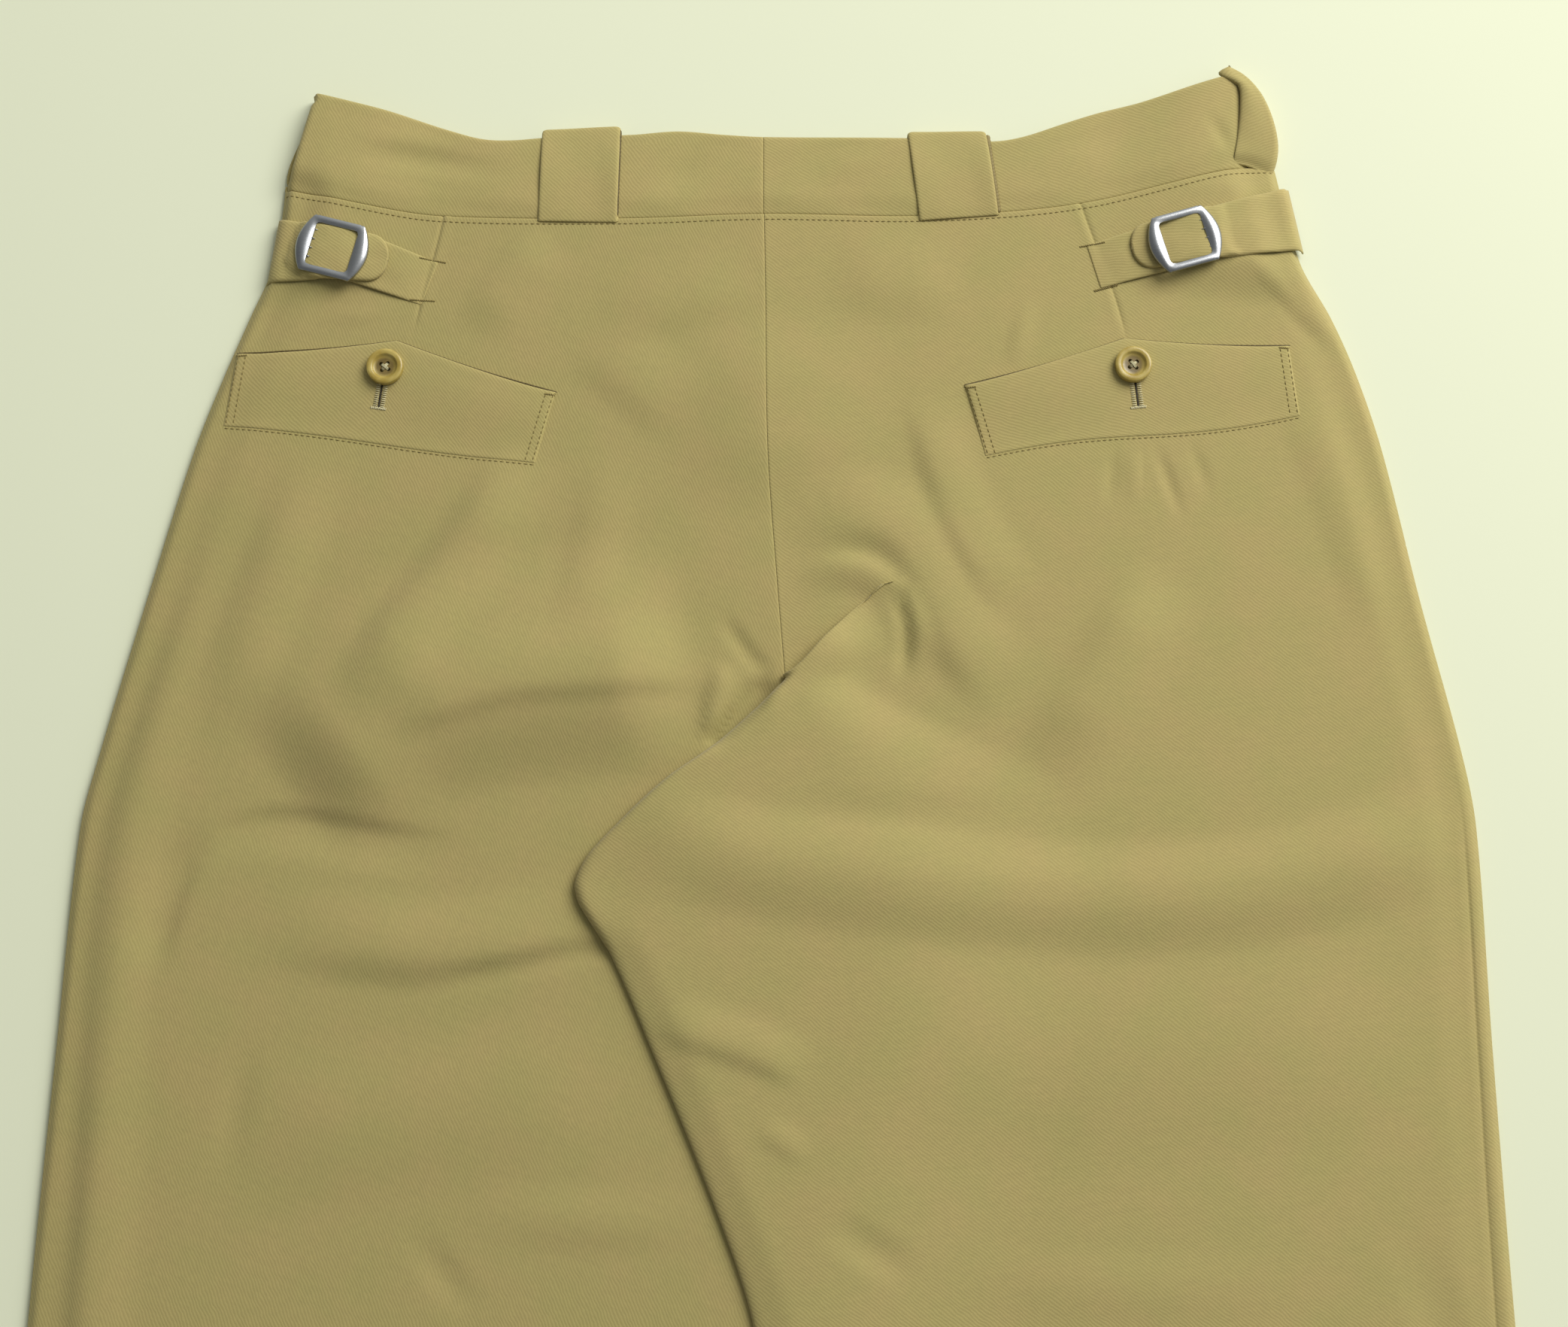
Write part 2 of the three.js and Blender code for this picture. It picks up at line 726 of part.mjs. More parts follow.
// A wall laid on finished pieces: a grid of [x, y] places, lifted clear of what is under and around each
function laidOn(name, under, places, { thick, reach, lift = SURFACE_LIFT, firstDrop = 0 }) {
  const around = [[0, 0], [reach, 0], [-reach, 0], [0, reach], [0, -reach]];
  const grid = places.map((row) => row.map(([x, y], i) => {
    const found = Math.max(...around.map(([dx, dy]) => topOf(under, x + dx, y + dy) ?? 0));
    const drop = i === 0 ? firstDrop : 0;
    const bottom = Math.max(found + lift - drop, SEAM_GAP);
    return { x, y, bottom, top: bottom + thick };
  }));
  return addPiece(name, wallOverGrid(grid), cloth());
}
const mix = (a, b, t) => a.map((v, i) => THREE.MathUtils.lerp(v, b[i], t));

// Back pocket welts: a long band with a point in its top edge
const WELT_COLUMNS = 10;
const WELT_ROWS = 3;
const WELT_POINT_CURVE = 1.35;
for (const welt of WELTS) {
  const peakShare = (welt.peak[0] - welt.topLow[0]) / (welt.topHigh[0] - welt.topLow[0]);
  const topEdge = (u) => {
    const straight = mix(welt.topLow, welt.topHigh, u);
    const rise = welt.peak[1] - THREE.MathUtils.lerp(welt.topLow[1], welt.topHigh[1], peakShare);
    const reach = u < peakShare ? u / peakShare : (1 - u) / (1 - peakShare);
    return [straight[0], straight[1] + rise * reach ** WELT_POINT_CURVE];
  };
  const atPeak = Math.round(peakShare * WELT_COLUMNS);
  const shares = Array.from({ length: WELT_COLUMNS + 1 }, (_, i) => i / WELT_COLUMNS);
  shares[atPeak] = peakShare;
  const places = [];
  for (let r = 0; r <= WELT_ROWS; r += 1) {
    places.push(shares.map((u) => mix(topEdge(u), mix(welt.low, welt.high, u), r / WELT_ROWS)));
  }
  laidOn(welt.name, [welt.panel], places, { thick: CLOTH, reach: 2 });
}

// Belt loops: a strap over the band, folded down behind its top edge
const LOOPS = [
  { name: 'belt_loop_left', half: 'left', bottomX: -94, topX: -93, topY: 38.5 },
  { name: 'belt_loop_right', half: 'right', bottomX: 65.3, topX: 60.6, topY: 37 },
];
for (const loop of LOOPS) {
  const band = 'waistband_back_' + loop.half;
  const middle = loop.bottomX + LOOP_WIDTH / 2;
  const bandTop = topOf([band], middle, bandTopY(middle) - 2);
  const rest = bandTop + LOOP_CLEARANCE;
  const lowY = waistSeamY(middle) - 1.5;
  const topY = loop.topY - STRAP;
  const stations = [];
  const add = (y, z, angle) => {
    const share = THREE.MathUtils.clamp((y - lowY) / (topY - lowY), 0, 1);
    const x = THREE.MathUtils.lerp(loop.bottomX, loop.topX, share);
    const out = new THREE.Vector3(0, Math.sin(angle), Math.cos(angle));
    stations.push({ a: new THREE.Vector3(x + LOOP_WIDTH, y, z), b: new THREE.Vector3(x, y, z), out });
  };
  const flatSteps = 5;
  for (let i = 0; i <= flatSteps; i += 1) {
    const y = THREE.MathUtils.lerp(lowY, topY - LOOP_FOLD, i / flatSteps);
    const bulge = LOOP_BULGE * Math.sin((Math.PI * i) / flatSteps);
    add(y, rest + bulge, 0);
  }
  add(topY - LOOP_FOLD * 0.2, rest - LOOP_FOLD * 0.4, Math.PI / 4);
  add(topY, rest - LOOP_FOLD, Math.PI / 2);
  add(topY, rest - BAND - 1, Math.PI / 2);
  addPiece(loop.name, strip(stations, STRAP), cloth());
}

// Side adjusters
function buckleGeometry() {
  const { width, height, waist, corner, bevel, thick, bow } = BUCKLE;
  const frame = new THREE.Shape();
  frame.moveTo(-waist / 2 + corner, -height / 2);
  frame.lineTo(waist / 2 - corner, -height / 2);
  frame.quadraticCurveTo(waist / 2, -height / 2, waist / 2 + 0.6, -height / 2 + corner);
  frame.quadraticCurveTo(width - waist / 2, 0, waist / 2 + 0.6, height / 2 - corner);
  frame.quadraticCurveTo(waist / 2, height / 2, waist / 2 - corner, height / 2);
  frame.lineTo(-waist / 2 + corner, height / 2);
  frame.quadraticCurveTo(-waist / 2, height / 2, -waist / 2 - 0.6, height / 2 - corner);
  frame.quadraticCurveTo(waist / 2 - width, 0, -waist / 2 - 0.6, -height / 2 + corner);
  frame.quadraticCurveTo(-waist / 2, -height / 2, -waist / 2 + corner, -height / 2);
  const hole = new THREE.Path();
  const r = BUCKLE.windowCorner;
  const w = BUCKLE.window / 2;
  const h = BUCKLE.windowHeight / 2;
  hole.moveTo(-w + r, -h);
  hole.quadraticCurveTo(-w, -h, -w, -h + r);
  hole.lineTo(-w, h - r);
  hole.quadraticCurveTo(-w, h, -w + r, h);
  hole.lineTo(w - r, h);
  hole.quadraticCurveTo(w, h, w, h - r);
  hole.lineTo(w, -h + r);
  hole.quadraticCurveTo(w, -h, w - r, -h);
  hole.lineTo(-w + r, -h);
  frame.holes.push(hole);
  const geometry = new THREE.ExtrudeGeometry(frame, {
    depth: thick - 2 * bevel,
    curveSegments: 5,
    bevelEnabled: true,
    bevelThickness: bevel,
    bevelSize: bevel,
    bevelOffset: -bevel,
    bevelSegments: 1,
  });
  geometry.deleteAttribute('normal');
  geometry.deleteAttribute('uv');
  const merged = mergeVertices(geometry, 1e-4);
  const at = merged.getAttribute('position');
  for (let i = 0; i < at.count; i += 1) {
    const across = at.getX(i) / (width / 2);
    at.setZ(i, at.getZ(i) + bevel + bow * (1 - across * across));
  }
  merged.computeVertexNormals();
  return merged;
}

// Places along a straight band; its first step is short, and its far end is rounded if wanted
function bandPlaces(from, to, widthFrom, widthTo, { columns, roundEnd = 0 }) {
  const length = Math.hypot(to.x - from.x, to.y - from.y);
  const ux = (to.x - from.x) / length;
  const uy = (to.y - from.y) / length;
  const across = [1, 0.5, 0, -0.5, -1];
  return across.map((side) => Array.from({ length: columns + 1 }, (_, i) => {
    const t = i === 0 ? 0 : THREE.MathUtils.lerp(FIRST_STEP / length, 1, (i - 1) / (columns - 1));
    const half = THREE.MathUtils.lerp(widthFrom, widthTo, t) / 2;
    const round = roundEnd * (1 - Math.sqrt(1 - TIP_ROUNDNESS.side * side * side)) * half;
    const along = Math.min(length * t, length - round * (t > 0.999 ? 1 : 0));
    const x = from.x + ux * along - uy * side * half;
    const y = from.y + uy * along + ux * side * half;
    return [x, y];
  }));
}

for (const adjuster of ADJUSTERS) {
  const { side, buckle, tabEnd, strapEdge, strapTip } = adjuster;
  const panelName = 'back_' + side;
  const inward = side === 'left' ? 1 : -1;
  const turn = THREE.MathUtils.degToRad(buckle.turn);
  const hold = {
    x: buckle.x - inward * TAB_REACH * Math.cos(turn),
    y: buckle.y - inward * TAB_REACH * Math.sin(turn),
  };
  const tab = bandPlaces(hold, tabEnd, TAB_WIDTH + 3, TAB_WIDTH, { columns: 8 });
  laidOn('adjuster_tab_' + side, [panelName], tab, { thick: CLOTH, reach: TAB_CLEARS });
  const tip = { columns: 10, roundEnd: TIP_ROUNDNESS.end };
  const strap = bandPlaces(strapEdge, strapTip, STRAP_WIDTH, STRAP_TIP_WIDTH, tip);
  const under = [panelName, 'adjuster_tab_' + side, 'waistband_back_' + side];
  const laid = { thick: STRAP, reach: STRAP_REACH, lift: STRAP_LIFT, firstDrop: STRAP_FOOT_DROP };
  laidOn('adjuster_strap_' + side, under, strap, laid);
  const frame = addPiece('buckle_' + side, buckleGeometry(), metal());
  frame.rotation.z = turn;
  const top = topOf(['adjuster_strap_' + side], buckle.x, buckle.y);
  frame.position.set(buckle.x, buckle.y, top + 0.2);
}

// Buttons: a dished disc on a short shank of thread
for (const welt of WELTS) {
  const { radius, thick, dish, rim, shank } = BUTTON;
  const profile = [
    [0, 0],
    [radius * 0.72, 0],
    [radius, thick * 0.42],
    [radius, thick * 0.7],
    [radius - 0.6, thick],
    [radius - rim, thick],
    [radius - rim - 1, thick - dish],
    [0, thick - dish],
  ].map(([r, z]) => new THREE.Vector2(r, z));
  const geometry = new THREE.LatheGeometry(profile, 20);
  geometry.rotateX(Math.PI / 2);
  const button = addPiece(welt.name.replace('pocket_welt', 'button'), geometry, horn());
  const { x, y } = welt.button;
  button.position.set(x, y, topOf([welt.name], x, y) + shank * 0.5);
}

// Stand the part on the middle of its own outline
const outline = new THREE.Box3().setFromObject(trousers);
trousers.position.set(
  -(outline.min.x + outline.max.x) / 2,
  -(outline.min.y + outline.max.y) / 2,
  -outline.min.z,
);

export default trousers;
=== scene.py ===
import math
from functools import partial

import bpy
import numpy as np
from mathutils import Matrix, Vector
from mathutils.bvhtree import BVHTree


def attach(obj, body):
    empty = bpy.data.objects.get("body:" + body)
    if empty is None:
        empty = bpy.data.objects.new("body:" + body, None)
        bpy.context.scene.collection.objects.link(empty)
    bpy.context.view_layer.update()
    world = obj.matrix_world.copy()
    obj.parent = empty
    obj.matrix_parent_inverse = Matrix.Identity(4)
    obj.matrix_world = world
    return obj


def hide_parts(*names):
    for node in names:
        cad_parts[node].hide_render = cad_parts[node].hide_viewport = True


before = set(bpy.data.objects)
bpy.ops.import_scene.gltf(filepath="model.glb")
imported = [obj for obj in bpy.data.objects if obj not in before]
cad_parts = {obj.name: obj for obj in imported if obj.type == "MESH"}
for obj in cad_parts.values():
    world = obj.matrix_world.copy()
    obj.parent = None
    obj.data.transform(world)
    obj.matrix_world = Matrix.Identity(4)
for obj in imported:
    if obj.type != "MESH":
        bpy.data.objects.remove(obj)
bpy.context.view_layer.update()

SIDES = ("left", "right")

# The cloth is drawn in millimetres from the point where the centre back seam meets the waist seam
DRAWING_AT = (-4.0, 471.71, 0.0)
MM = 0.001

# Thickness of each piece's cloth
CLOTH = 0.9
BAND_CLOTH = 0.8
FRONT_BAND_CLOTH = 1.1
WELT_CLOTH = 0.55
LOOP_CLOTH = 0.6
TAB_CLOTH = 0.6
STRAP_CLOTH = 0.7

# How cloth lies over cloth: heights and fades, as in the solids
SOLID_CLOTH = 1.2
LAYER_GAP = 0.4
SEAT_BASE = 2 * SOLID_CLOTH + LAYER_GAP
BAND_RISE = 0.8
LOFT = 2.4
LOFT_FADE = 16
FRONT_STAYS_DOWN = 3
CROSSING = (9.0, -196.0)
CROTCH_POINT_Y = -284
RIDE_HEIGHT = 3.0
RIDE_RAMP = 34
RIDE_RAMP_BELOW = 90
COVERED_FADE = 22
SIDE_ROUNDING = 4.5
SEAM_ROUNDING = 0.8
SEAM_DROP = 0.2
SEAM_GAP = 0.05
HEM_STITCHES_Y = -968.6
WAIST_STITCHES_DOWN = 2.3

# Outlines, in millimetres
SIDE_SEAMS = [
    (22, -200, 215), (-20, -204, 224), (-45, -213, 236), (-69, -222, 245), (-102, -233, 254),
    (-165, -249, 266), (-227, -264, 279), (-257, -270, 283), (-345, -274, 284), (-445, -278, 286),
    (-600, -282, 291), (-1010, -295, 303),
]
CENTRE_SEAM = [(22, 0), (-36, 1), (-102, 2), (-159, 6), (-196, 9)]
INSEAMS = [
    (-196, 9, 9.3), (-198.5, 9.6, 8.8), (-211, 17, -4), (-226, 26, -21), (-238, 32, -38),
    (-257, 40, -58), (-271, 44, -70), (-284, 45, -73), (-307, 41, -59), (-345, 33, -42),
    (-402, 20, -18), (-445, 11, -3), (-500, 2, 6), (-600, -8, 17), (-1010, -59, 67),
]
WAIST_SEAM = [
    (-210, 13), (-169, 4), (-135, -1), (-60, -2), (0, 0), (60, -1), (103, 1), (135, 5),
    (170, 13), (200, 20), (225, 21),
]
BAND_TOP = [
    (-190, 53.5), (-173, 49.5), (-157, 45.5), (-131, 37), (-118, 33.5), (-106, 33), (-93, 34), (-55, 35.5),
    (-36, 37), (-17, 35.5), (0, 34.5), (60, 34), (96, 32.5), (109, 34.5), (128, 41), (142, 45.5), (160, 50),
    (186, 58.5), (200, 63),
]
TUCK_LINE = [
    (-80, -196), (9, -196), (26, -180), (38, -168), (51, -158), (66, -152), (110, -147),
    (290, -140),
]
DARTS = {
    "left": [(22, -132), (-2, -134), (-50, -144), (-110, -152), (-300, -146), (-445, -140), (-1010, -177)],
    "right": [(22, 129), (4, 132), (-54, 149), (-110, 155), (-300, 150), (-445, 146), (-1010, 185)],
}
DART_ENDS = {"left": -50, "right": -54}

# Folds: width to the left and right of the path, height, share of the path over which it runs out, path
LEFT_FOLDS = [
    (62, 42, 7.4, 0.2, [(-186, -248), (-174, -238), (-158, -225), (-138, -211), (-104, -203), (-62, -199),
                        (-26, -196)]),
    (30, 9, 2.0, 0.2, [(-150, -219), (-104, -203), (-62, -199), (-18, -195)]),
    (26, 15, 2.8, 0.4, [(-204, -300), (-150, -306), (-110, -306), (-46, -292)]),
    (22, 9, 1.8, 0.2, [(-218, -130), (-230, -170), (-246, -225), (-254, -265), (-257, -320), (-256, -445),
                       (-262, -640)]),
    (24, 15, 3.5, 0.3, [(-96, -98), (-112, -128), (-129, -154), (-147, -180), (-166, -214)]),
    (20, 16, 2.2, 0.4, [(-180, -98), (-192, -136), (-208, -184), (-222, -228)]),
    (17, 13, 1.2, 0.4, [(-62, -100), (-68, -140), (-78, -186)]),
    (34, 34, 1.4, 0.3, [(-210, -376), (-120, -372), (-50, -352)]),
    (7, 6, -4.0, 0.35, [(5, -202), (-8, -213), (-24, -228)]),
]
RIGHT_FOLDS = [
    (24, 26, 3.1, 0.16, [(-58, -258), (-20, -267), (20, -274), (60, -279), (100, -283), (150, -285),
                         (200, -280),
                         (250, -265), (284, -248)]),
    (27, 13, 2.6, 0.28, [(14, -148), (26, -136), (43, -134), (56, -141), (65, -157), (72, -173),
                         (80, -188), (98, -212)]),
    (8, 12, 2.2, 0.3, [(12, -160), (28, -152), (42, -153), (53, -161), (61, -176), (67, -198)]),
    (28, 18, 3.0, 0.35, [(164, -152), (146, -178), (131, -202), (104, -232)]),
    (20, 9, 1.7, 0.3, [(63, -76), (70, -108), (78, -130), (88, -150), (104, -176)]),
    (46, 46, 1.6, 0.3, [(20, -340), (150, -356), (266, -330)]),
    (15, 15, 1.0, 0.3, [(216, -70), (236, -116), (252, -186)]),
]
SEAT_FOLDS = [
    (58, 44, 2.4, 0.4, [(-2, -40), (0, -86), (2, -132)]),
    (62, 62, 3.0, 0.3, [(-200, 20), (-196, -8), (-190, -40)]),
    (64, 64, 3.6, 0.3, [(210, 26), (204, 0), (200, -40)]),
]
CROTCH_ROLL = (30, 30, 2.4, 0.3, [(-70, -284), (9, -196), (52, -158)])
TUCK_LOBE = (16, 15, 3.2, 0.3, [(-10, -214), (12, -195), (32, -181), (47, -175)])

# Finer creases that only the cloth shows
LEFT_CREASES = [
    (6, 18, -1.7, 0.35, [(-226, -272), (-212, -260), (-192, -254), (-168, -257), (-145, -261),
                         (-112, -264)]),
    (16, 7, -1.5, 0.35, [(-238, -318), (-232, -290), (-226, -272), (-214, -260)]),
    (6, 7, -1.5, 0.3, [(-136, -319), (-108, -314), (-84, -309), (-60, -303), (-38, -296)]),
    (9, 5, 2.1, 0.25, [(-14, -190), (-22, -206), (-20, -230)]),
    (7, 7, -3.4, 0.25, [(5, -197), (-8, -210), (-22, -228)]),
    (4, 5, -1.3, 0.35, [(-17, -170), (-8, -186), (5, -199)]),
    (22, 13, 1.4, 0.35, [(-86, -8), (-108, -26), (-121, -54)]),
    (14, 26, 1.2, 0.4, [(0, -28), (-30, -40), (-70, -50)]),
    (26, 16, 1.4, 0.4, [(-80, -54), (-52, -74), (-26, -96)]),
    (5, 5, -0.5, 0.5, [(-196, -36), (-206, -46), (-214, -60)]),
    (5, 6, 0.6, 0.5, [(-150, -40), (-166, -46), (-186, -47)]),
    (14, 14, 1.0, 0.5, [(-120, -404), (-60, -412), (-10, -406)]),
    (9, 9, -0.7, 0.5, [(-198, -336), (-201, -362), (-208, -396)]),
    (9, 9, -0.8, 0.5, [(-136, -408), (-122, -428), (-104, -446)]),
    (16, 16, -1.1, 0.4, [(-200, -470), (-150, -520), (-140, -640)]),
    (20, 16, 1.5, 0.4, [(-90, -500), (-70, -640), (-90, -800)]),
    (18, 18, 1.4, 0.4, [(-230, -560), (-220, -700), (-236, -860)]),
    (15, 15, -1.2, 0.4, [(-240, -900), (-180, -925), (-110, -910)]),
]
RIGHT_CREASES = [
    (4, 5, -2.3, 0.35, [(45, -160), (54, -166), (58, -180), (56, -200)]),
    (16, 8, 1.6, 0.3, [(-44, -332), (-28, -338), (-6, -345), (20, -355)]),
    (9, 6, 0.8, 0.45, [(-4, -372), (6, -378), (20, -386)]),
    (14, 8, 1.5, 0.35, [(203, -16), (215, -32), (240, -58)]),
    (3.5, 3.5, -0.8, 0.45, [(144, -99), (143, -112), (140, -128)]),
    (4, 4, 0.6, 0.5, [(152, -98), (152, -112), (150, -128)]),
    (3.5, 3.5, -0.9, 0.45, [(160, -98), (165, -114), (171, -134)]),
    (4, 4, -0.6, 0.5, [(174, -96), (179, -110), (182, -126)]),
    (7, 4, 0.8, 0.45, [(112, -36), (105, -52), (101, -70)]),
    (28, 20, 1.3, 0.4, [(24, -26), (52, -34), (86, -28)]),
    (10, 10, -1.0, 0.45, [(22, -406), (40, -418), (62, -430)]),
    (12, 10, -0.7, 0.5, [(0, -248), (50, -254), (110, -256)]),
    (16, 16, 0.8, 0.5, [(60, -424), (130, -440), (220, -428)]),
    (14, 14, -0.8, 0.4, [(240, -400), (262, -440), (266, -520)]),
    (20, 16, 1.5, 0.4, [(80, -500), (60, -640), (90, -800)]),
    (18, 18, 1.4, 0.4, [(230, -560), (214, -700), (240, -860)]),
    (15, 15, -1.2, 0.4, [(250, -900), (190, -925), (120, -905)]),
]
BAND_CREASES = [
    (7, 7, -0.7, 0.4, [(-183, 27), (-140, 24), (-100, 17)]),
    (6, 6, 0.5, 0.5, [(-176, 36), (-140, 31), (-112, 28)]),
    (4, 4, -0.8, 0.5, [(186, 46), (191, 36), (198, 24)]),
    (9, 9, -0.5, 0.5, [(-48, 8), (-30, 20), (-20, 30)]),
    (10, 8, 0.5, 0.5, [(20, 12), (36, 24), (54, 28)]),
    (12, 12, 0.6, 0.5, [(110, 16), (130, 24), (158, 26)]),
]

PLEATS = [(66, 74, 190), (104, 110, 160)]
PLEAT_DEPTH = 1.0
PLEAT_SLOPE = 9
PLEAT_STEP = 1.2

WELTS = {
    "left": {
        "low": (-221, -92), "high": (-93, -108), "top_low": (-217, -61), "peak": (-151, -56),
        "top_high": (-85, -78), "button": (-155, -68), "button_turn": 8, "hole_head": -0.6,
        "hole_foot": (-157.5, -85), "opens_high": True, "sag": 0.64, "grain": 4, "tone_and_painted_light": 0.1,
    },
    "right": {
        "low": (91, -105), "high": (220, -88), "top_low": (83, -75), "peak": (149, -55),
        "top_high": (217, -58), "button": (152, -67), "button_turn": -6, "hole_head": 0.4,
        "hole_foot": (154, -84.5), "opens_high": False, "sag": 1.6, "grain": 16, "tone_and_painted_light": 0.2,
    },
}
LOOPS = {
    "left": {
        "bottom": -94.0, "top": -93.0, "head": 38.4, "foot_slant": -0.4, "head_slant": 1.6,
        "inside_out": 0.0, "inside_width": 1.2, "turn": 0,
    },
    "right": {
        "bottom": 65.3, "top": 60.6, "head": 36.8, "foot_slant": 2.6, "head_slant": 0.2,
        "inside_out": 0.3, "inside_width": 2.2, "turn": 10,
    },
}
LOOP_WIDTH = 33
LOOP_LIFT = 0.5
LOOP_FOOT = -1.6
BAND_TOP_HEIGHT = 5
ADJUSTERS = {
    "left": {
        "buckle": (-178.4, -17.2), "turn": -14.5, "buckle_sink": 1.3,
        "tab_from": (-190, -12), "tab_to": (-138.5, -30.8), "tab_grain": 10,
        "strap_from": (-204.5, -15), "strap_to": (-155.3, -21.5), "strap_grain": 16,
    },
    "right": {
        "buckle": (174.7, -13.5), "turn": 16, "buckle_sink": 0.4,
        "tab_from": (188, -9), "tab_to": (137.5, -23.3), "tab_grain": 30,
        "strap_from": (223.5, -3.6), "strap_to": (152.9, -16.4), "strap_grain": 34,
    },
}


def srgb(r, g, b):
    """Linear colour of an 8-bit screen colour."""
    return tuple((v / 255 / 12.92) if v <= 10 else ((v / 255 + 0.055) / 1.055) ** 2.4 for v in (r, g, b))


def smooth(t):
    t = np.clip(t, 0, 1)
    return t * t * (3 - 2 * t)


def eased(rows, at, value=1):
    """Value of a column of a table at a place, eased between its rows as the solids are."""
    rows = sorted(rows)
    k = np.array([r[0] for r in rows], float)
    v = np.array([r[value] for r in rows], float)
    at = np.clip(np.asarray(at, float), k[0], k[-1])
    i = np.clip(np.searchsorted(k, at, side="left") - 1, 0, len(k) - 2)
    before, after = np.maximum(i - 1, 0), np.minimum(i + 2, len(k) - 1)
    span = k[i + 1] - k[i]
    t = (at - k[i]) / span
    slope_a = (v[i + 1] - v[before]) / (k[i + 1] - k[before]) * span
    slope_b = (v[after] - v[i]) / (k[after] - k[i]) * span
    t2, t3 = t * t, t * t * t
    return ((2 * t3 - 3 * t2 + 1) * v[i] + (t3 - 2 * t2 + t) * slope_a
            + (3 * t2 - 2 * t3) * v[i + 1] + (t3 - t2) * slope_b)


def side_x(side, y):
    return eased(SIDE_SEAMS, y, 1 if side == "left" else 2)


def inner_x(side, y):
    y = np.asarray(y, float)
    above = eased(CENTRE_SEAM, y)
    below = eased(INSEAMS, y, 1 if side == "left" else 2)
    return np.where(y > CROSSING[1], above, below)


def waist_y(x):
    return eased(WAIST_SEAM, x)


def band_top_y(x):
    return eased(BAND_TOP, x)


def tuck_y(x):
    return eased(TUCK_LINE, x)


def smooth_path(points, steps):
    """Points of a smooth path: a quadratic curve for three points, else a spline through them all."""
    p = np.array(points, float)
    if len(p) == 2:
        return np.linspace(p[0], p[1], steps + 1)
    if len(p) == 3:
        t = np.linspace(0, 1, steps + 1)[:, None]
        return (1 - t) ** 2 * p[0] + 2 * t * (1 - t) * p[1] + t * t * p[2]
    q = np.vstack([2 * p[0] - p[1], p, 2 * p[-1] - p[-2]])
    out = []
    count = max(3, round(steps / (len(p) - 1)))
    for i in range(len(p) - 1):
        a, b, c, d = q[i:i + 4]
        for t in np.arange(count) / count:
            out.append(0.5 * (2 * b + (c - a) * t + (2 * a - 5 * b + 4 * c - d) * t * t
                              + (3 * b - a - 3 * c + d) * t ** 3))
    return np.vstack([out, p[-1]])


def fold_height(fold, x, y):
    """Height of one fold: a bell across its path, which runs out towards both ends."""
    left, right, height, run_out, points = fold
    path = smooth_path(points, 20)
    reach = max(left, right)
    low, high = path.min(axis=0) - reach, path.max(axis=0) + reach
    near = (x > low[0]) & (x < high[0]) & (y > low[1]) & (y < high[1])
    out = np.zeros(x.shape)
    if not near.any():
        return out
    px, py = x[near][:, None], y[near][:, None]
    d = np.diff(path, axis=0)
    length = np.hypot(d[:, 0], d[:, 1])
    t = np.clip(((px - path[:-1, 0]) * d[:, 0] + (py - path[:-1, 1]) * d[:, 1]) / (length * length), 0, 1)
    gap = np.hypot(px - path[:-1, 0] - t * d[:, 0], py - path[:-1, 1] - t * d[:, 1])
    which = gap.argmin(axis=1)
    rows = np.arange(len(which))
    t, gap = t[rows, which], gap[rows, which]
    done = np.concatenate([[0], np.cumsum(length)])
    along = (done[which] + t * length[which]) / done[-1]
    turn = d[which, 0] * (py[:, 0] - path[which, 1]) - d[which, 1] * (px[:, 0] - path[which, 0])
    width = np.where(turn > 0, left, right)
    bell = np.where(gap < width, (1 - (gap / width) ** 2) ** 2, 0)
    out[near] = height * bell * smooth(np.minimum(along, 1 - along) / run_out)
    return out


def folds_sum(folds, x, y):
    total = np.zeros(x.shape)
    for fold in folds:
        total = total + fold_height(fold, x, y)
    return total


def edge_rise(gap, fine):
    """How a half rises from its side edge: as the solids do, or as cloth over a pressed seam does."""
    if not fine:
        return smooth(gap / LOFT_FADE)
    return 0.6 * smooth(gap / 3.5) + 0.4 * smooth((gap - 9) / 14)


def left_loft(x, y, fine=True, bridged=False):
    """Loft of the seat side of the left half over its front; bridged is how cloth laid over it runs."""
    x, y = np.broadcast_arrays(np.asarray(x, float), np.asarray(y, float))
    gap = x - side_x("left", y)
    overlap = smooth((CROSSING[1] - y) / LOFT_FADE)
    from_inner = 1.0 if bridged else 1 - overlap * (1 - smooth((inner_x("left", y) - x) / LOFT_FADE))
    covered = overlap * smooth((x - inner_x("right", y)) / COVERED_FADE)
    folds = folds_sum(SEAT_FOLDS, x, y) + (1 - covered) * folds_sum(LEFT_FOLDS, x, y)
    loft = edge_rise(gap, fine) * from_inner * (LOFT + folds)
    if fine:
        loft = loft + (1 - covered) * smooth(gap / 8) * folds_sum(LEFT_CREASES, x, y)
    return np.maximum(0, loft)


def ride_share(x, y):
    """How much the right leg rides on the left one."""
    above = y > CROSSING[1]
    past = np.where(above, np.hypot(x - CROSSING[0], y - CROSSING[1]),
                    np.maximum(0, x - inner_x("left", y)))
    ramp = RIDE_RAMP + (RIDE_RAMP_BELOW - RIDE_RAMP) * smooth((CROSSING[1] - y) / 50)
    share = smooth(1 - past / ramp) * (1 - smooth((-480 - y) / 60))
    return np.where(y > tuck_y(x), 0, share)


def right_rest(x, y):
    return ride_share(x, y) * (left_loft(x, y, fine=False, bridged=True) + RIDE_HEIGHT)


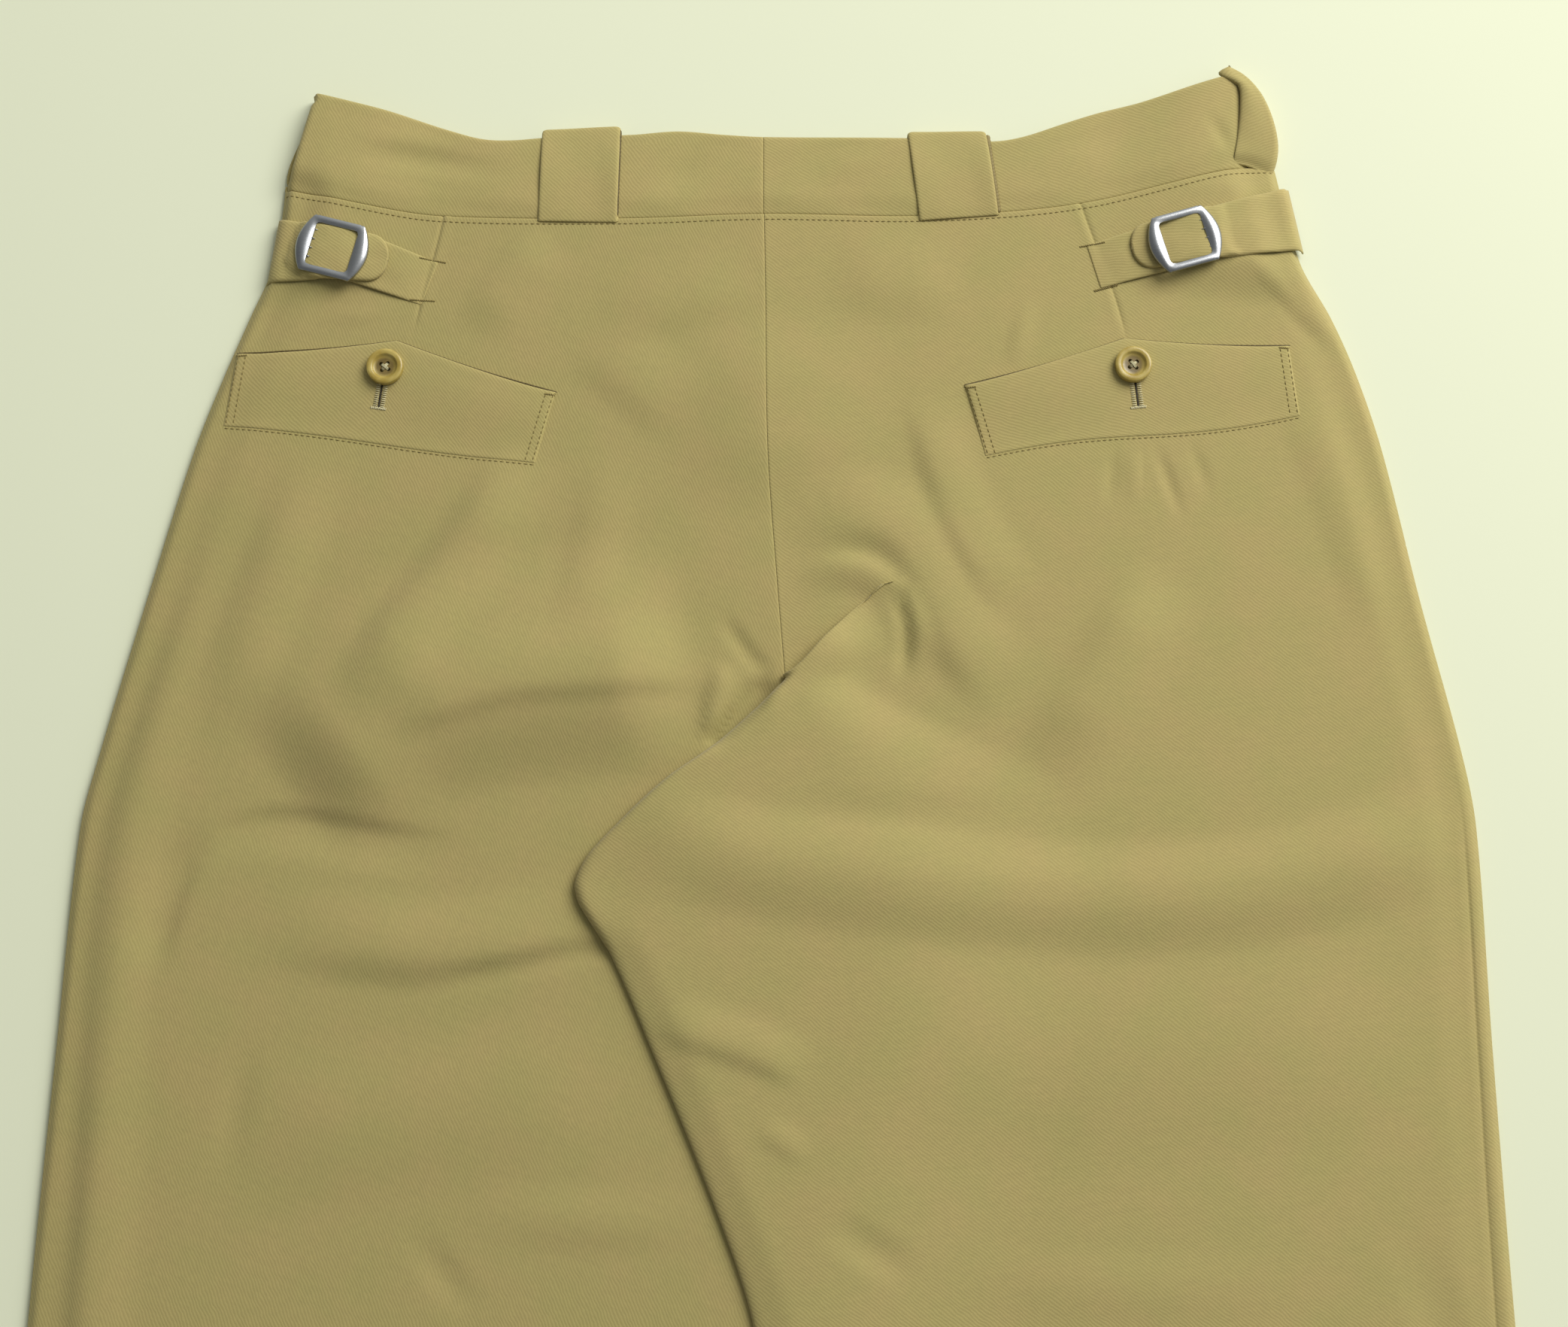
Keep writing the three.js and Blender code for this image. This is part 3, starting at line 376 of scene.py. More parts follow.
def right_loft(x, y, under_tuck=None, fine=True):
    """Loft of the right half. under_tuck says which points lie past the tuck's edge, on its high side."""
    x, y = np.broadcast_arrays(np.asarray(x, float), np.asarray(y, float))
    if under_tuck is None:
        under_tuck = y <= tuck_y(x)
    gap = side_x("right", y) - x
    inseam = smooth((CROTCH_POINT_Y - y) / 30) * (1 - smooth((x - inner_x("right", y)) / LOFT_FADE))
    roll = np.where(under_tuck, fold_height(CROTCH_ROLL, x, y) + fold_height(TUCK_LOBE, x, y), 0)
    # At the crossing the two halves are sewn together, so the rolled edge starts low there
    sewn = 1 - 0.75 * np.where(under_tuck, 1 - smooth(np.hypot(x - CROSSING[0], y - CROSSING[1]) / 26), 0)
    folds = (folds_sum(SEAT_FOLDS, x, y) + folds_sum(RIGHT_FOLDS, x, y) + roll) * sewn
    loft = edge_rise(gap, fine) * (1 - 0.75 * inseam) * (LOFT + folds)
    if fine:
        loft = loft + smooth(gap / 8) * folds_sum(RIGHT_CREASES, x, y)
    return np.maximum(0, loft)


# Mesh making

RIM_BULGE = 0.4
WORN_EDGE = 1.6
cloth_tops = {}


def normals_of(points):
    """Unit normals of a grid of points, facing up for a grid whose rows go down and columns right."""
    down = np.empty_like(points)
    across = np.empty_like(points)
    down[1:-1] = points[2:] - points[:-2]
    down[0], down[-1] = points[1] - points[0], points[-1] - points[-2]
    across[:, 1:-1] = points[:, 2:] - points[:, :-2]
    across[:, 0], across[:, -1] = points[:, 1] - points[:, 0], points[:, -1] - points[:, -2]
    n = np.cross(down, across)
    return n / np.maximum(np.linalg.norm(n, axis=2, keepdims=True), 1e-9)


def unit(v):
    return v / max(1e-6, np.linalg.norm(v))


def cloth_piece(name, points, thick, grain, tone_and_painted_light=0.0, below=True):
    """A closed thin shell over a grid of points, with a rounded rim, a grain map and edge values."""
    points = np.asarray(points, float)
    rows, cols = points.shape[:2]
    n = normals_of(points)
    other = points - n * thick if below else points + n * thick
    top, bottom = (points, other) if below else (other, points)
    count = rows * cols
    rim = ([(0, c) for c in range(cols)] + [(r, cols - 1) for r in range(1, rows)]
           + [(rows - 1, c) for c in range(cols - 2, -1, -1)] + [(r, 0) for r in range(rows - 2, 0, -1)])
    middle = []
    for r, c in rim:
        inward = []
        if r in (0, rows - 1):
            inward.append((1 if r == 0 else rows - 2, c))
        if c in (0, cols - 1):
            inward.append((r, 1 if c == 0 else cols - 2))
        out = unit(sum(unit(points[r, c] - points[place]) for place in inward))
        middle.append((top[r, c] + bottom[r, c]) / 2 + out * thick * RIM_BULGE)
    verts = np.vstack([top.reshape(-1, 3), bottom.reshape(-1, 3), np.array(middle)])
    ids = np.arange(count).reshape(rows, cols)
    a, b, d, e = ids[:-1, :-1], ids[:-1, 1:], ids[1:, :-1], ids[1:, 1:]
    upper = np.stack([a, d, e, b], axis=-1).reshape(-1, 4)
    lower = np.stack([a, b, e, d], axis=-1).reshape(-1, 4) + count
    ring = np.array([r * cols + c for r, c in rim])
    ring_next = np.roll(ring, -1)
    mid = 2 * count + np.arange(len(rim))
    mid_next = np.roll(mid, -1)
    wall = np.vstack([np.stack([ring, ring_next, mid_next, mid], axis=-1),
                      np.stack([mid, mid_next, ring_next + count, ring + count], axis=-1)])
    faces = np.vstack([upper, lower, wall])
    # How far each point is from the rim of the piece, for the wear along its edges
    gaps_down = np.linalg.norm(np.diff(points, axis=0), axis=2)
    gaps_across = np.linalg.norm(np.diff(points, axis=1), axis=2)
    v = np.vstack([np.zeros((1, cols)), np.cumsum(gaps_down, axis=0)])
    u = np.hstack([np.zeros((rows, 1)), np.cumsum(gaps_across, axis=1)])
    from_rim = np.minimum(np.minimum(v, v[-1:] - v), np.minimum(u, u[:, -1:] - u))
    edge = np.exp(-from_rim / WORN_EDGE).reshape(-1)
    edge = np.concatenate([edge, edge, np.ones(len(rim))])
    cx, cy = u - u[:, cols // 2][:, None], -(v - v[rows // 2])
    if grain.get("flat"):
        cx, cy = points[..., 0], points[..., 1]
    turn = math.radians(grain["turn"])
    gu = (cx * math.cos(turn) + cy * math.sin(turn)).reshape(-1)
    gv = (-cx * math.sin(turn) + cy * math.cos(turn)).reshape(-1)
    gu, gv = [np.concatenate([g, g, g[ring]]) for g in (gu, gv)]
    obj = mesh_object(name, verts, faces)
    mesh = obj.data
    loops = np.empty(len(mesh.loops), dtype=np.int32)
    mesh.loops.foreach_get("vertex_index", loops)
    grain_map = mesh.uv_layers.new(name="grain")
    pairs = np.stack([gu[loops], gv[loops]], axis=-1) * MM
    grain_map.data.foreach_set("uv", pairs.reshape(-1))
    values(mesh, "edge", edge)
    values(mesh, "tone_and_painted_light", np.full(len(verts), tone_and_painted_light))
    cloth_tops[name] = BVHTree.FromPolygons([tuple(p) for p in verts], [tuple(f) for f in faces])
    twice = np.cross(points[1:, 1:] - points[:-1, :-1], points[1:, :-1] - points[:-1, 1:])
    obj["cloth_area"] = float(np.linalg.norm(twice, axis=2).sum() / 2 * MM * MM)
    return obj


def values(mesh, name, numbers):
    layer = mesh.attributes.new(name=name, type="FLOAT", domain="POINT")
    layer.data.foreach_set("value", np.asarray(numbers, np.float32))


def mesh_object(name, verts, faces):
    """An object at the origin, with its place in its mesh; verts are in drawing millimetres."""
    mesh = bpy.data.meshes.new(name)
    at = (np.asarray(verts, float) + np.array(DRAWING_AT)) * MM
    mesh.from_pydata([tuple(p) for p in at], [], [tuple(int(i) for i in f) for f in faces])
    mesh.update()
    mesh.shade_smooth()
    obj = bpy.data.objects.new(name, mesh)
    bpy.context.scene.collection.objects.link(obj)
    return obj


def heights(names, x, y, start, way):
    hits = [cloth_tops[name].ray_cast(Vector((x, y, start)), Vector((0, 0, way)))[0] for name in names]
    return [hit.z for hit in hits if hit is not None]


def top_at(names, x, y):
    """Height of the highest named piece under a point, in millimetres."""
    return max(heights(names, x, y, 60, -1), default=None)


def bottom_at(names, x, y):
    """Height of the lowest named piece over a point, seen from the floor."""
    return min(heights(names, x, y, -5, 1), default=None)


def columns_for(lows, highs, mark_lines, counts, near_edge, near_mark):
    """Grid of x places, row by row: clusters at the edges and along the mark lines."""
    rows = []
    for i, (low, high) in enumerate(zip(lows, highs)):
        marks = [line[i] for line in mark_lines]
        stops = [(low, [0.0], near_edge)]
        stops += [(m, near_mark, near_mark) for m in marks]
        stops += [(high, near_edge, [0.0])]
        places = []
        for k, (at, before, after) in enumerate(stops):
            if k > 0:
                places += [at - g for g in reversed(before) if g > 0]
            places.append(at)
            if k < len(stops) - 1:
                places += [at + g for g in after if g > 0]
                nxt, nbefore, _ = stops[k + 1]
                start = at + max(after)
                end = nxt - max(nbefore)
                places += list(np.linspace(start, end, counts[k] + 2)[1:-1])
        rows.append(sorted(places))
    return np.array(rows)


def settle(edge, row_y, first):
    """x where a row meets an edge."""
    x = np.asarray(first, float)
    for _ in range(40):
        x = 0.5 * x + 0.5 * edge(row_y(x))
    return x


WAIST_LEVELS = [2.6, 1.4, 0.6, 0.15, -0.15, -0.5, -1.2, -2.2, -3.6, -5.4]
LEG_LEVELS = list(np.linspace(-452, -968, 74))
HEM_LEVELS = [-968.8, -969.6, -970.4, -972, -978, -986, -994, -1001, -1006, -1008.6, -1010]


def left_rows():
    """Rows of the left back: level, share of the waist seam."""
    levels = WAIST_LEVELS + list(np.arange(-8, -446, -2.7)) + LEG_LEVELS + HEM_LEVELS
    shares = np.interp([-level for level in levels], [0, 16, 34, 54, 76, 98, 122],
                       [1, 0.9, 0.75, 0.5, 0.25, 0.1, 0])
    return list(zip(levels, shares))


# How the tuck turns over, row by row: place against its line, share of the height of its high side
TUCK_TURN = {
    1: (-0.2, 0.0), 2: (-1.7, 0.08), 3: (-0.85, 0.3), 4: (0.25, 0.62), 5: (0.15, 0.9), 6: (-0.7, 1.0),
}
PAST_TUCK = 7


def right_rows():
    """Rows of the right back: level, share of the waist seam, share of the tuck line, rank at the tuck."""
    rows = [(level, 1.0, 0.0, 0) for level in WAIST_LEVELS]
    rows += [(0.0, 1 - q, q, 0) for q in np.linspace(0.045, 0.955, 62)]
    rows += [(gap, 0.0, 1.0, 0) for gap in (5.0, 3.2, 1.9, 1.0, 0.4)]
    rows += [(0.0, 0.0, 1.0, rank) for rank in TUCK_TURN]
    rows += [(-gap, 0.0, 1.0, PAST_TUCK) for gap in (1.6, 2.8, 4.4, 6.6)]
    rows += [(CROTCH_POINT_Y * q, 0.0, 1 - q, PAST_TUCK) for q in np.linspace(0.09, 0.97, 46)]
    levels = list(np.arange(-286, -446, -2.7)) + LEG_LEVELS + HEM_LEVELS
    return rows + [(level, 0.0, 0.0, PAST_TUCK) for level in levels]


NEAR_EDGE = [0.0, 0.25, 0.7, 1.3, 2.1, 3.2, 4.8]
NEAR_MARK = [0.0, 0.45, 1.0, 2.0]


def rounded(gap, radius):
    """0 at an edge, rising as a quarter circle to 1 at the radius."""
    t = np.clip(gap / radius, 0, 1)
    return np.sqrt(1 - (1 - t) ** 2)


def groove(gap, width):
    return np.exp(-(gap / width) ** 2)


def under_band(z, level):
    """The top of a back dips under the band's lower edge, in a fine seam line."""
    return np.maximum(np.minimum(z, 1.9), z - 1.9 * smooth((level + 0.4) / 2.2))


def hem_line(y):
    """The hem is turned up and stitched: a small groove at its stitches, and a thicker end."""
    return -0.35 * groove(y + 970, 0.9) + 0.35 * smooth((-969 - y) / 4)


def dart_seam(side, x, y, dart):
    """Change of height at a dart: its seam line, and the allowance under the cloth on one side of it."""
    inward = 1 if side == "left" else -1
    open_dart = smooth((y - DART_ENDS[side] + 2) / 12)
    return open_dart * (0.25 * groove(x - dart - inward * 1.6, 1.6) - 0.5 * groove(x - dart, 0.6))


def seam_drop(gap):
    """A panel dips a little where it is sewn to the next one."""
    return SEAM_DROP * (1 - rounded(gap, SEAM_ROUNDING))


def build_back_left():
    """The left back, whose inner edge goes under the right leg below the crossing."""
    rows = left_rows()
    row_y = [lambda x, l=l, w=w: l + w * waist_y(x) for l, w in rows]
    level = np.array([r[0] for r in rows])
    low = np.array([settle(lambda y: side_x("left", y), f, side_x("left", r)) for f, r in zip(row_y, level)])
    high = np.array([settle(lambda y: inner_x("left", y) - SEAM_GAP, f, inner_x("left", r))
                     for f, r in zip(row_y, level)])
    dart = eased(DARTS["left"], level)
    x = columns_for(low, high, [dart], [42, 52], NEAR_EDGE, NEAR_MARK)
    y = np.array([f(xs) for f, xs in zip(row_y, x)])
    z = left_loft(x, y) + SEAT_BASE + hem_line(y) + dart_seam("left", x, y, dart[:, None])
    side_gap = x - low[:, None]
    inner_gap = high[:, None] - x
    edge, seam_end = 2.0, -212
    z = edge + (z - edge) * rounded(side_gap, SIDE_ROUNDING)
    z -= np.where(y > seam_end, seam_drop(inner_gap), 0)
    z = np.where(y < seam_end, edge + (z - edge) * rounded(inner_gap, SIDE_ROUNDING), z)
    z = under_band(z, level[:, None])
    points = np.stack([x, y, z], axis=-1)
    # The left back's lower tone is painted shade, as light falls from the right
    return cloth_piece("back_left_cloth", points, CLOTH, {"flat": True, "turn": -21}, tone_and_painted_light=-0.15)


def build_back_right():
    """The right back, with the tuck at the crotch; below it the leg lies on the left one."""
    rows = right_rows()
    row_y = [lambda x, r=r: r[0] + r[1] * waist_y(x) + r[2] * tuck_y(x) for r in rows]
    first = [inner_x("right", r[0] + r[2] * -190) for r in rows]
    low = np.array([settle(lambda y: inner_x("right", y) + SEAM_GAP, f, a) for f, a in zip(row_y, first)])
    first = [side_x("right", r[0] + r[2] * -150) for r in rows]
    high = np.array([settle(lambda y: side_x("right", y), f, a) for f, a in zip(row_y, first)])
    rank = np.array([r[3] for r in rows])
    at_mid = np.array([f(m) for f, m in zip(row_y, (low + high) / 2)])
    dart = eased(DARTS["right"], at_mid)
    # The side seam shows beside the edge, because the leg is turned a little
    inset = np.interp(-at_mid, [0, 260, 345, 445, 1010], [6, 6, 6.5, 8, 10])
    x = columns_for(low, high, [dart, high - inset], [62, 45, 0], NEAR_EDGE, NEAR_MARK[:3])
    y = np.array([f(xs) for f, xs in zip(row_y, x)])
    # How strongly the tuck folds over, from full at the crossing to nothing at its hook
    along = np.hypot(x - CROSSING[0], tuck_y(x) - CROSSING[1])
    fold_over = smooth(1.15 - along / 62) * np.where(x > CROSSING[0] - 6, 1, 0)
    y_low = np.array([tuck_y(xs) + 0.02 for xs in x])
    y_high = y_low - 0.8
    past = np.broadcast_to(rank[:, None], x.shape)
    z = right_rest(x, y) + right_loft(x, y, under_tuck=past >= PAST_TUCK)
    z_low = right_loft(x, y_low, under_tuck=past < 0)
    z_high = right_rest(x, y_high) + right_loft(x, y_high, under_tuck=past >= 0)
    for k, (shift_y, share_z) in TUCK_TURN.items():
        r = np.where(rank == k)[0]
        y[r] = tuck_y(x[r]) + shift_y * fold_over[r] - 0.12 * k * (1 - fold_over[r])
        z[r] = z_low[r] + share_z * (z_high[r] - z_low[r])
    z = z + SEAT_BASE + hem_line(y) + dart_seam("right", x, y, dart[:, None])
    z -= 0.5 * smooth((-235 - y) / 60) * groove(x - (high - inset)[:, None], 0.7)
    side_gap = high[:, None] - x
    inner_gap = x - low[:, None]
    edge = 1.6
    z = edge + (z - edge) * rounded(side_gap, SIDE_ROUNDING)
    # The free inner edge rounds down; above the tuck the same edge is the centre seam
    free = np.array([0.0 if k == 0 else TUCK_TURN.get(k, (0.0, 1.0))[1] for k in rank])[:, None]
    body = right_loft(x, y, under_tuck=past >= 2) + SEAT_BASE - edge
    z -= free * (1 - rounded(inner_gap, SIDE_ROUNDING)) * body
    z -= (1 - free) * seam_drop(inner_gap)
    level = np.array([r[0] if r[1] == 1.0 else -50 for r in rows])
    z = under_band(z, level[:, None])
    points = np.stack([x, y, z], axis=-1)
    # The right back's higher tone is painted light, as light falls from the right
    return cloth_piece("back_right_cloth", points, CLOTH, {"flat": True, "turn": 7}, tone_and_painted_light=0.1)


def pleat_x(pleat, y):
    top, foot, length = pleat
    return top + (foot - top) * np.maximum(0, -y) / length


def pleat_lift(x, y):
    """A pleat shows on the outside of a front as a step that fades out down the leg."""
    lift = np.zeros(np.broadcast(x, y).shape)
    for pleat in PLEATS:
        past = np.abs(x) - pleat_x(pleat, y)
        shape = np.where(past < 0, 1 + past / PLEAT_SLOPE, 1 - past / PLEAT_STEP)
        lift = lift + PLEAT_DEPTH * np.maximum(0, shape) * smooth((y + pleat[2]) / 60)
    return lift


def pocket_x(y):
    """Slanted opening of a front pocket, as a distance from the centre seam."""
    return np.interp(-y, [-25, 0, 150, 165, 1010], [160, 168, 236, 240, 285])


def build_front(side):
    """A front, face down: flat where it rests, with its pleats and its pocket's slanted opening."""
    sign = -1 if side == "left" else 1
    levels = [0.0, -0.6, -1.6, -3.2] + list(np.arange(-8, -196, -7)) + list(np.arange(-196.5, -300, -6.5))
    levels += list(np.arange(-306, -450, -9)) + list(np.linspace(-462, -968, 40))
    levels += [-969, -970, -971, -978, -990, -1002, -1008, -1010]
    levels = np.array(levels)
    waist = np.interp(-levels, [0, 40, 120], [1, 0.7, 0])
    row_y = [lambda x, l=l, w=w: l + w * waist_y(x) for l, w in zip(levels, waist)]
    grid = []
    for f, level in zip(row_y, levels):
        inner = settle(lambda y: inner_x(side, y) + sign * 0.12, f, inner_x(side, level))
        outer = settle(lambda y: side_x(side, y) - sign * 0.35, f, side_x(side, level))
        stops = [float(inner), float(inner) + sign * 1.4]
        for pleat in PLEATS:
            at = sign * pleat_x(pleat, max(level, -pleat[2]))
            stops += [at - sign * PLEAT_SLOPE, at - sign * 0.6, at, at + sign * 0.5, at + sign * PLEAT_STEP]
        pocket = sign * min(pocket_x(level), abs(outer) - 7)
        stops += [pocket - sign * 1.2, pocket, pocket + sign * 0.5, pocket + sign * 1.4]
        stops += [float(outer) - sign * gap for gap in (3.5, 2, 0.9, 0)]
        places = []
        parts = {1: 14, 6: 5, 11: 10, 15: 3}
        for i in range(len(stops) - 1):
            count = parts.get(i, 1)
            places += list(np.linspace(stops[i], stops[i + 1], count + 1)[:-1])
        places.append(stops[-1])
        grid.append(sorted(places))
    x = np.array(grid)
    y = np.array([f(xs) for f, xs in zip(row_y, x)])
    if side == "left":
        z = np.maximum(0, left_loft(x, y, fine=False) - FRONT_STAYS_DOWN)
        outer_gap, inner_gap = x - x[:, :1], x[:, -1:] - x
    else:
        below_tuck = smooth((tuck_y(x) - y) / 6.5)
        z = right_rest(x, y) * below_tuck + np.maximum(0, right_loft(x, y, fine=False) - FRONT_STAYS_DOWN)
        outer_gap, inner_gap = x[:, -1:] - x, x - x[:, :1]
    z += pleat_lift(x, y)
    slit = np.abs(x) - np.minimum(pocket_x(y), np.abs(np.where(side == "left", x[:, :1], x[:, -1:])) - 7)
    opened = smooth((y + 165) / 15)
    z += 0.6 * opened * np.clip(1 - np.abs(slit - 0.5) / 1.4, 0, 1)
    z += 0.5 * (1 - rounded(inner_gap, 1.4)) * np.where(y > -196, 1, 0.6)
    z += 0.9 * (1 - rounded(outer_gap, 3.2))
    z -= np.minimum(0, hem_line(y))
    points = np.stack([x, y, z], axis=-1)
    grain = {"flat": True, "turn": 21 if side == "left" else -7}
    return cloth_piece("front_%s_cloth" % side, points, CLOTH, grain, below=False)


def build_back_band(side):
    """Half of the back waistband, from the side to the centre seam, rounded over its top edge."""
    ends = [0, 0.3, 0.8, 1.6, 2.6, 4.0]
    low, high = (-199.7, -SEAM_GAP) if side == "left" else (SEAM_GAP, 203.0)
    xs = np.concatenate([low + np.array(ends), np.linspace(low + 6, high - 6, 92),
                         high - np.array(ends[::-1])])
    # Rows: share of the way down from the top edge, distance below the place there, drop in height
    rows = [(0, down, drop) for down, drop in ((1.3, -2.5), (0.5, -1.9), (0.08, -1.2), (0.1, -0.65),
                                               (0.45, -0.22), (1.1, -0.03), (2.2, 0), (3.6, 0))]
    rows += [(share, 0, 0) for share in np.linspace(0.13, 0.88, 16)]
    rows += [(1, -up, drop) for up, drop in ((3.1, 0), (2, -0.02), (1.1, -0.08), (0.55, -0.2), (0.2, -0.45))]
    share, down, drop = (np.array(column)[:, None] for column in zip(*rows))
    x = np.broadcast_to(xs, (len(rows), len(xs)))
    if side == "left":
        # The left end leans in towards the top
        x = x + 10.0 * (1 - share) ** 1.2 * np.clip((high - xs) / 200, 0, 1)
    y = band_top_y(x) + (waist_y(x) - band_top_y(x)) * share - down
    half_loft = left_loft if side == "left" else right_loft
    up = smooth((y - waist_y(x)) / 12)
    inside = np.clip(x, low + 14, high) if side == "left" else x
    loft = (1 - up) * half_loft(x, waist_y(x) - 0.5) + up * half_loft(inside, waist_y(x) - 2, fine=False)
    z = np.maximum(loft, 0.4) + SEAT_BASE + BAND_RISE * smooth((y - waist_y(x)) / 9)
    z += folds_sum(BAND_CREASES, x, y)
    ripple = 0.22 * np.sin(x / 9.0 + 1.3 * np.sin(y / 11.0))
    z += ripple * smooth((band_top_y(x) - y) / 6) * smooth((y - waist_y(x)) / 6)
    if side == "left":
        edge = 2.4
        z = edge + (z - edge) * rounded(xs - low, 2.6) - seam_drop(high - xs)
    else:
        z -= seam_drop(xs - low) + 1.2 * smooth((xs - 198) / 6)
    z += drop
    points = np.stack([x, y, z], axis=-1)
    grain = {"turn": -4 if side == "left" else 12}
    return cloth_piece("band_back_" + side, points, BAND_CLOTH, grain, tone_and_painted_light=0.35)


def build_front_band_left():
    """Flat under the back band, and out past its left end by a few millimetres."""
    outer = [(11.5, -199.2), (16, -200.6), (23, -199.6), (31, -196.8), (40, -193.0), (52, -188.0)]
    shares = np.concatenate([[0, 0.01, 0.03, 0.06], np.linspace(0.1, 0.9, 12), [0.94, 0.97, 0.99, 1.0]])
    ys_edge = 51 + (11.5 - 51) * shares
    x_edge = eased(outer, ys_edge)
    across = np.concatenate([[0, 0.4, 1.0, 1.8, 3.0, 5.0], np.linspace(12, 206, 30)])
    rows = []
    for s, ye, xe in zip(shares, ys_edge, x_edge):
        row = []
        for g in across:
            x = xe + g * (abs(xe) - 0.15) / 206
            top, foot = float(band_top_y(x)) - 1.5, float(waist_y(x)) + 0.5
            near = float(smooth(g / 30))
            y = (1 - near) * ye + near * (top + (foot - top) * s)
            base = max(0.0, float(left_loft(x, foot - 2, fine=False)) - FRONT_STAYS_DOWN)
            z = base * near + 0.7 * (1 - float(rounded(np.array(g), 3.0))) + 0.3
            row.append((x, y, z))
        rows.append(row)
    return cloth_piece("band_front_left", rows, FRONT_BAND_CLOTH, {"turn": 8}, below=False)


def build_front_band_right():
    """Flat under the back band, rolled round the right end and turned back onto it."""
    # Height in the drawing and place across, of the rolled end and of the flap's free edge
    outer = [(17.2, 213.4), (23, 215.8), (31.4, 216.8), (41.6, 215.0), (51.5, 211.3), (59.3, 206.4),
             (62.8, 202.8), (64.2, 200.4), (65.0, 197.6)]
    crease = [(20.0, 197.2), (34.4, 199.2), (45.7, 200.4), (55.5, 200.4), (57.5, 198.6), (59.6, 195.0),
              (61.4, 192.6), (62.6, 192.2), (64.0, 193.8), (65.0, 196.6)]
    shares = np.concatenate([[0, 0.012, 0.025, 0.045, 0.07, 0.1, 0.14, 0.18], np.linspace(0.24, 0.86, 14),
                             [0.91, 0.95, 0.975, 0.99, 1.0]])
    grid = []
    band_z = float(right_loft(199.0, 17.0, fine=False)) + SEAT_BASE + BAND_RISE
    for s in shares:
        row = []
        y_side = 65.0 + (17.4 - 65.0) * s
        x_out, x_in = float(eased(outer, y_side)), float(eased(crease, y_side))
        roll = min(3.0, (x_out - x_in) * 0.4)
        # The turned back flap lies lowest along the waist seam and stands highest near the top
        raised = float(smooth((1 - s) / 0.7))
        top_z = band_z - 2.0 + 3.4 * raised * (0.5 + 0.5 * float(smooth(s / 0.25)))
        top_z -= 1.7 * float(smooth((s - 0.88) / 0.12))
        for t in np.linspace(0, 1, 26):
            x = 0.05 + (x_out - roll - 0.05) * t
            top, foot = float(band_top_y(x)) - 1.5, float(waist_y(x)) + 0.5
            near = float(smooth((x - 187) / 11))
            y = (1 - near) * (top + (foot - top) * s) + near * y_side
            z = max(0.0, float(right_loft(x, foot - 2, fine=False)) - FRONT_STAYS_DOWN)
            row.append((x, y, z))
        low_z = row[-1][2]
        middle_z, tall = (low_z + top_z) / 2, (top_z - low_z) / 2
        for k in range(1, 15):
            angle = math.pi * k / 14
            row.append((x_out - roll + roll * math.sin(angle), y_side, middle_z - tall * math.cos(angle)))
        bulge = 0.9 * float(smooth((1 - s) / 0.5))
        for gap, rise in ((0.2, 0.5), (0.4, 0.85), (0.6, 1.0), (0.78, 0.8), (0.9, 0.4), (0.96, 0.05),
                          (0.99, -0.3), (1.0, -0.8)):
            x = (x_out - roll) + (x_in - (x_out - roll)) * gap
            y = y_side + 4.7 * (1 - (1 - gap) ** 2.6) * s ** 3
            row.append((x, y, top_z + 2.0 * (1 - raised) * gap + bulge * rise + 0.3 * min(0, rise)))
        grid.append(row)
    return cloth_piece("band_front_right", grid, BAND_CLOTH, {"turn": 20}, tone_and_painted_light=0.3, below=False)


def stitch_mesh(stitches, width, height):
    """Verts and faces of many short stitches; each is an end, the middle and an end, in millimetres."""
    sides = 6
    verts, faces = [], []
    for a, m, b in stitches:
        a, m, b = Vector(a), Vector(m), Vector(b)
        along = (b - a).normalized()
        across = along.cross(Vector((0, 0, 1)))
        across = across.normalized() if across.length > 1e-6 else Vector((1, 0, 0))
        up = across.cross(along).normalized()
        base = len(verts)
        verts.append(tuple(a))
        for centre, size in ((a.lerp(m, 0.35), 0.8), (m, 1.0), (b.lerp(m, 0.35), 0.8)):
            for i in range(sides):
                t = 2 * math.pi * i / sides
                out = across * (math.cos(t) * width / 2 * size) + up * (math.sin(t) * height / 2 * size)
                verts.append(tuple(centre + out))
        verts.append(tuple(b))
        last = len(verts) - 1
        for i in range(sides):
            j = (i + 1) % sides
            faces.append((base, base + 1 + i, base + 1 + j))
            for ring in range(2):
                p, q = base + 1 + ring * sides, base + 1 + (ring + 1) * sides
                faces.append((p + i, q + i, q + j, p + j))
            faces.append((last, base + 1 + 2 * sides + j, base + 1 + 2 * sides + i))
    return verts, faces


def laid(places, names, from_below=False):
    """One stitch through places with a lift each, on the named pieces; nothing where it finds none."""
    look, way = (bottom_at, -1) if from_below else (top_at, 1)
    found = [(x, y, look(names, x, y), lift) for (x, y), lift in places]
    if any(z is None for _, _, z, _ in found):
        return []
    return [[(x, y, z + way * lift) for x, y, z, lift in found]]


def walk(path, pitch):
    """Equal steps along a path of points."""
    p = np.array(path, float)
    gaps = np.linalg.norm(np.diff(p, axis=0), axis=1)
    at = np.concatenate([[0], np.cumsum(gaps)])
    count = max(1, int(at[-1] / pitch))
    marks = np.linspace(0, at[-1], count + 1)
    return np.stack([np.interp(marks, at, p[:, 0]), np.interp(marks, at, p[:, 1])], axis=-1)


STITCH_SHARE = 0.72


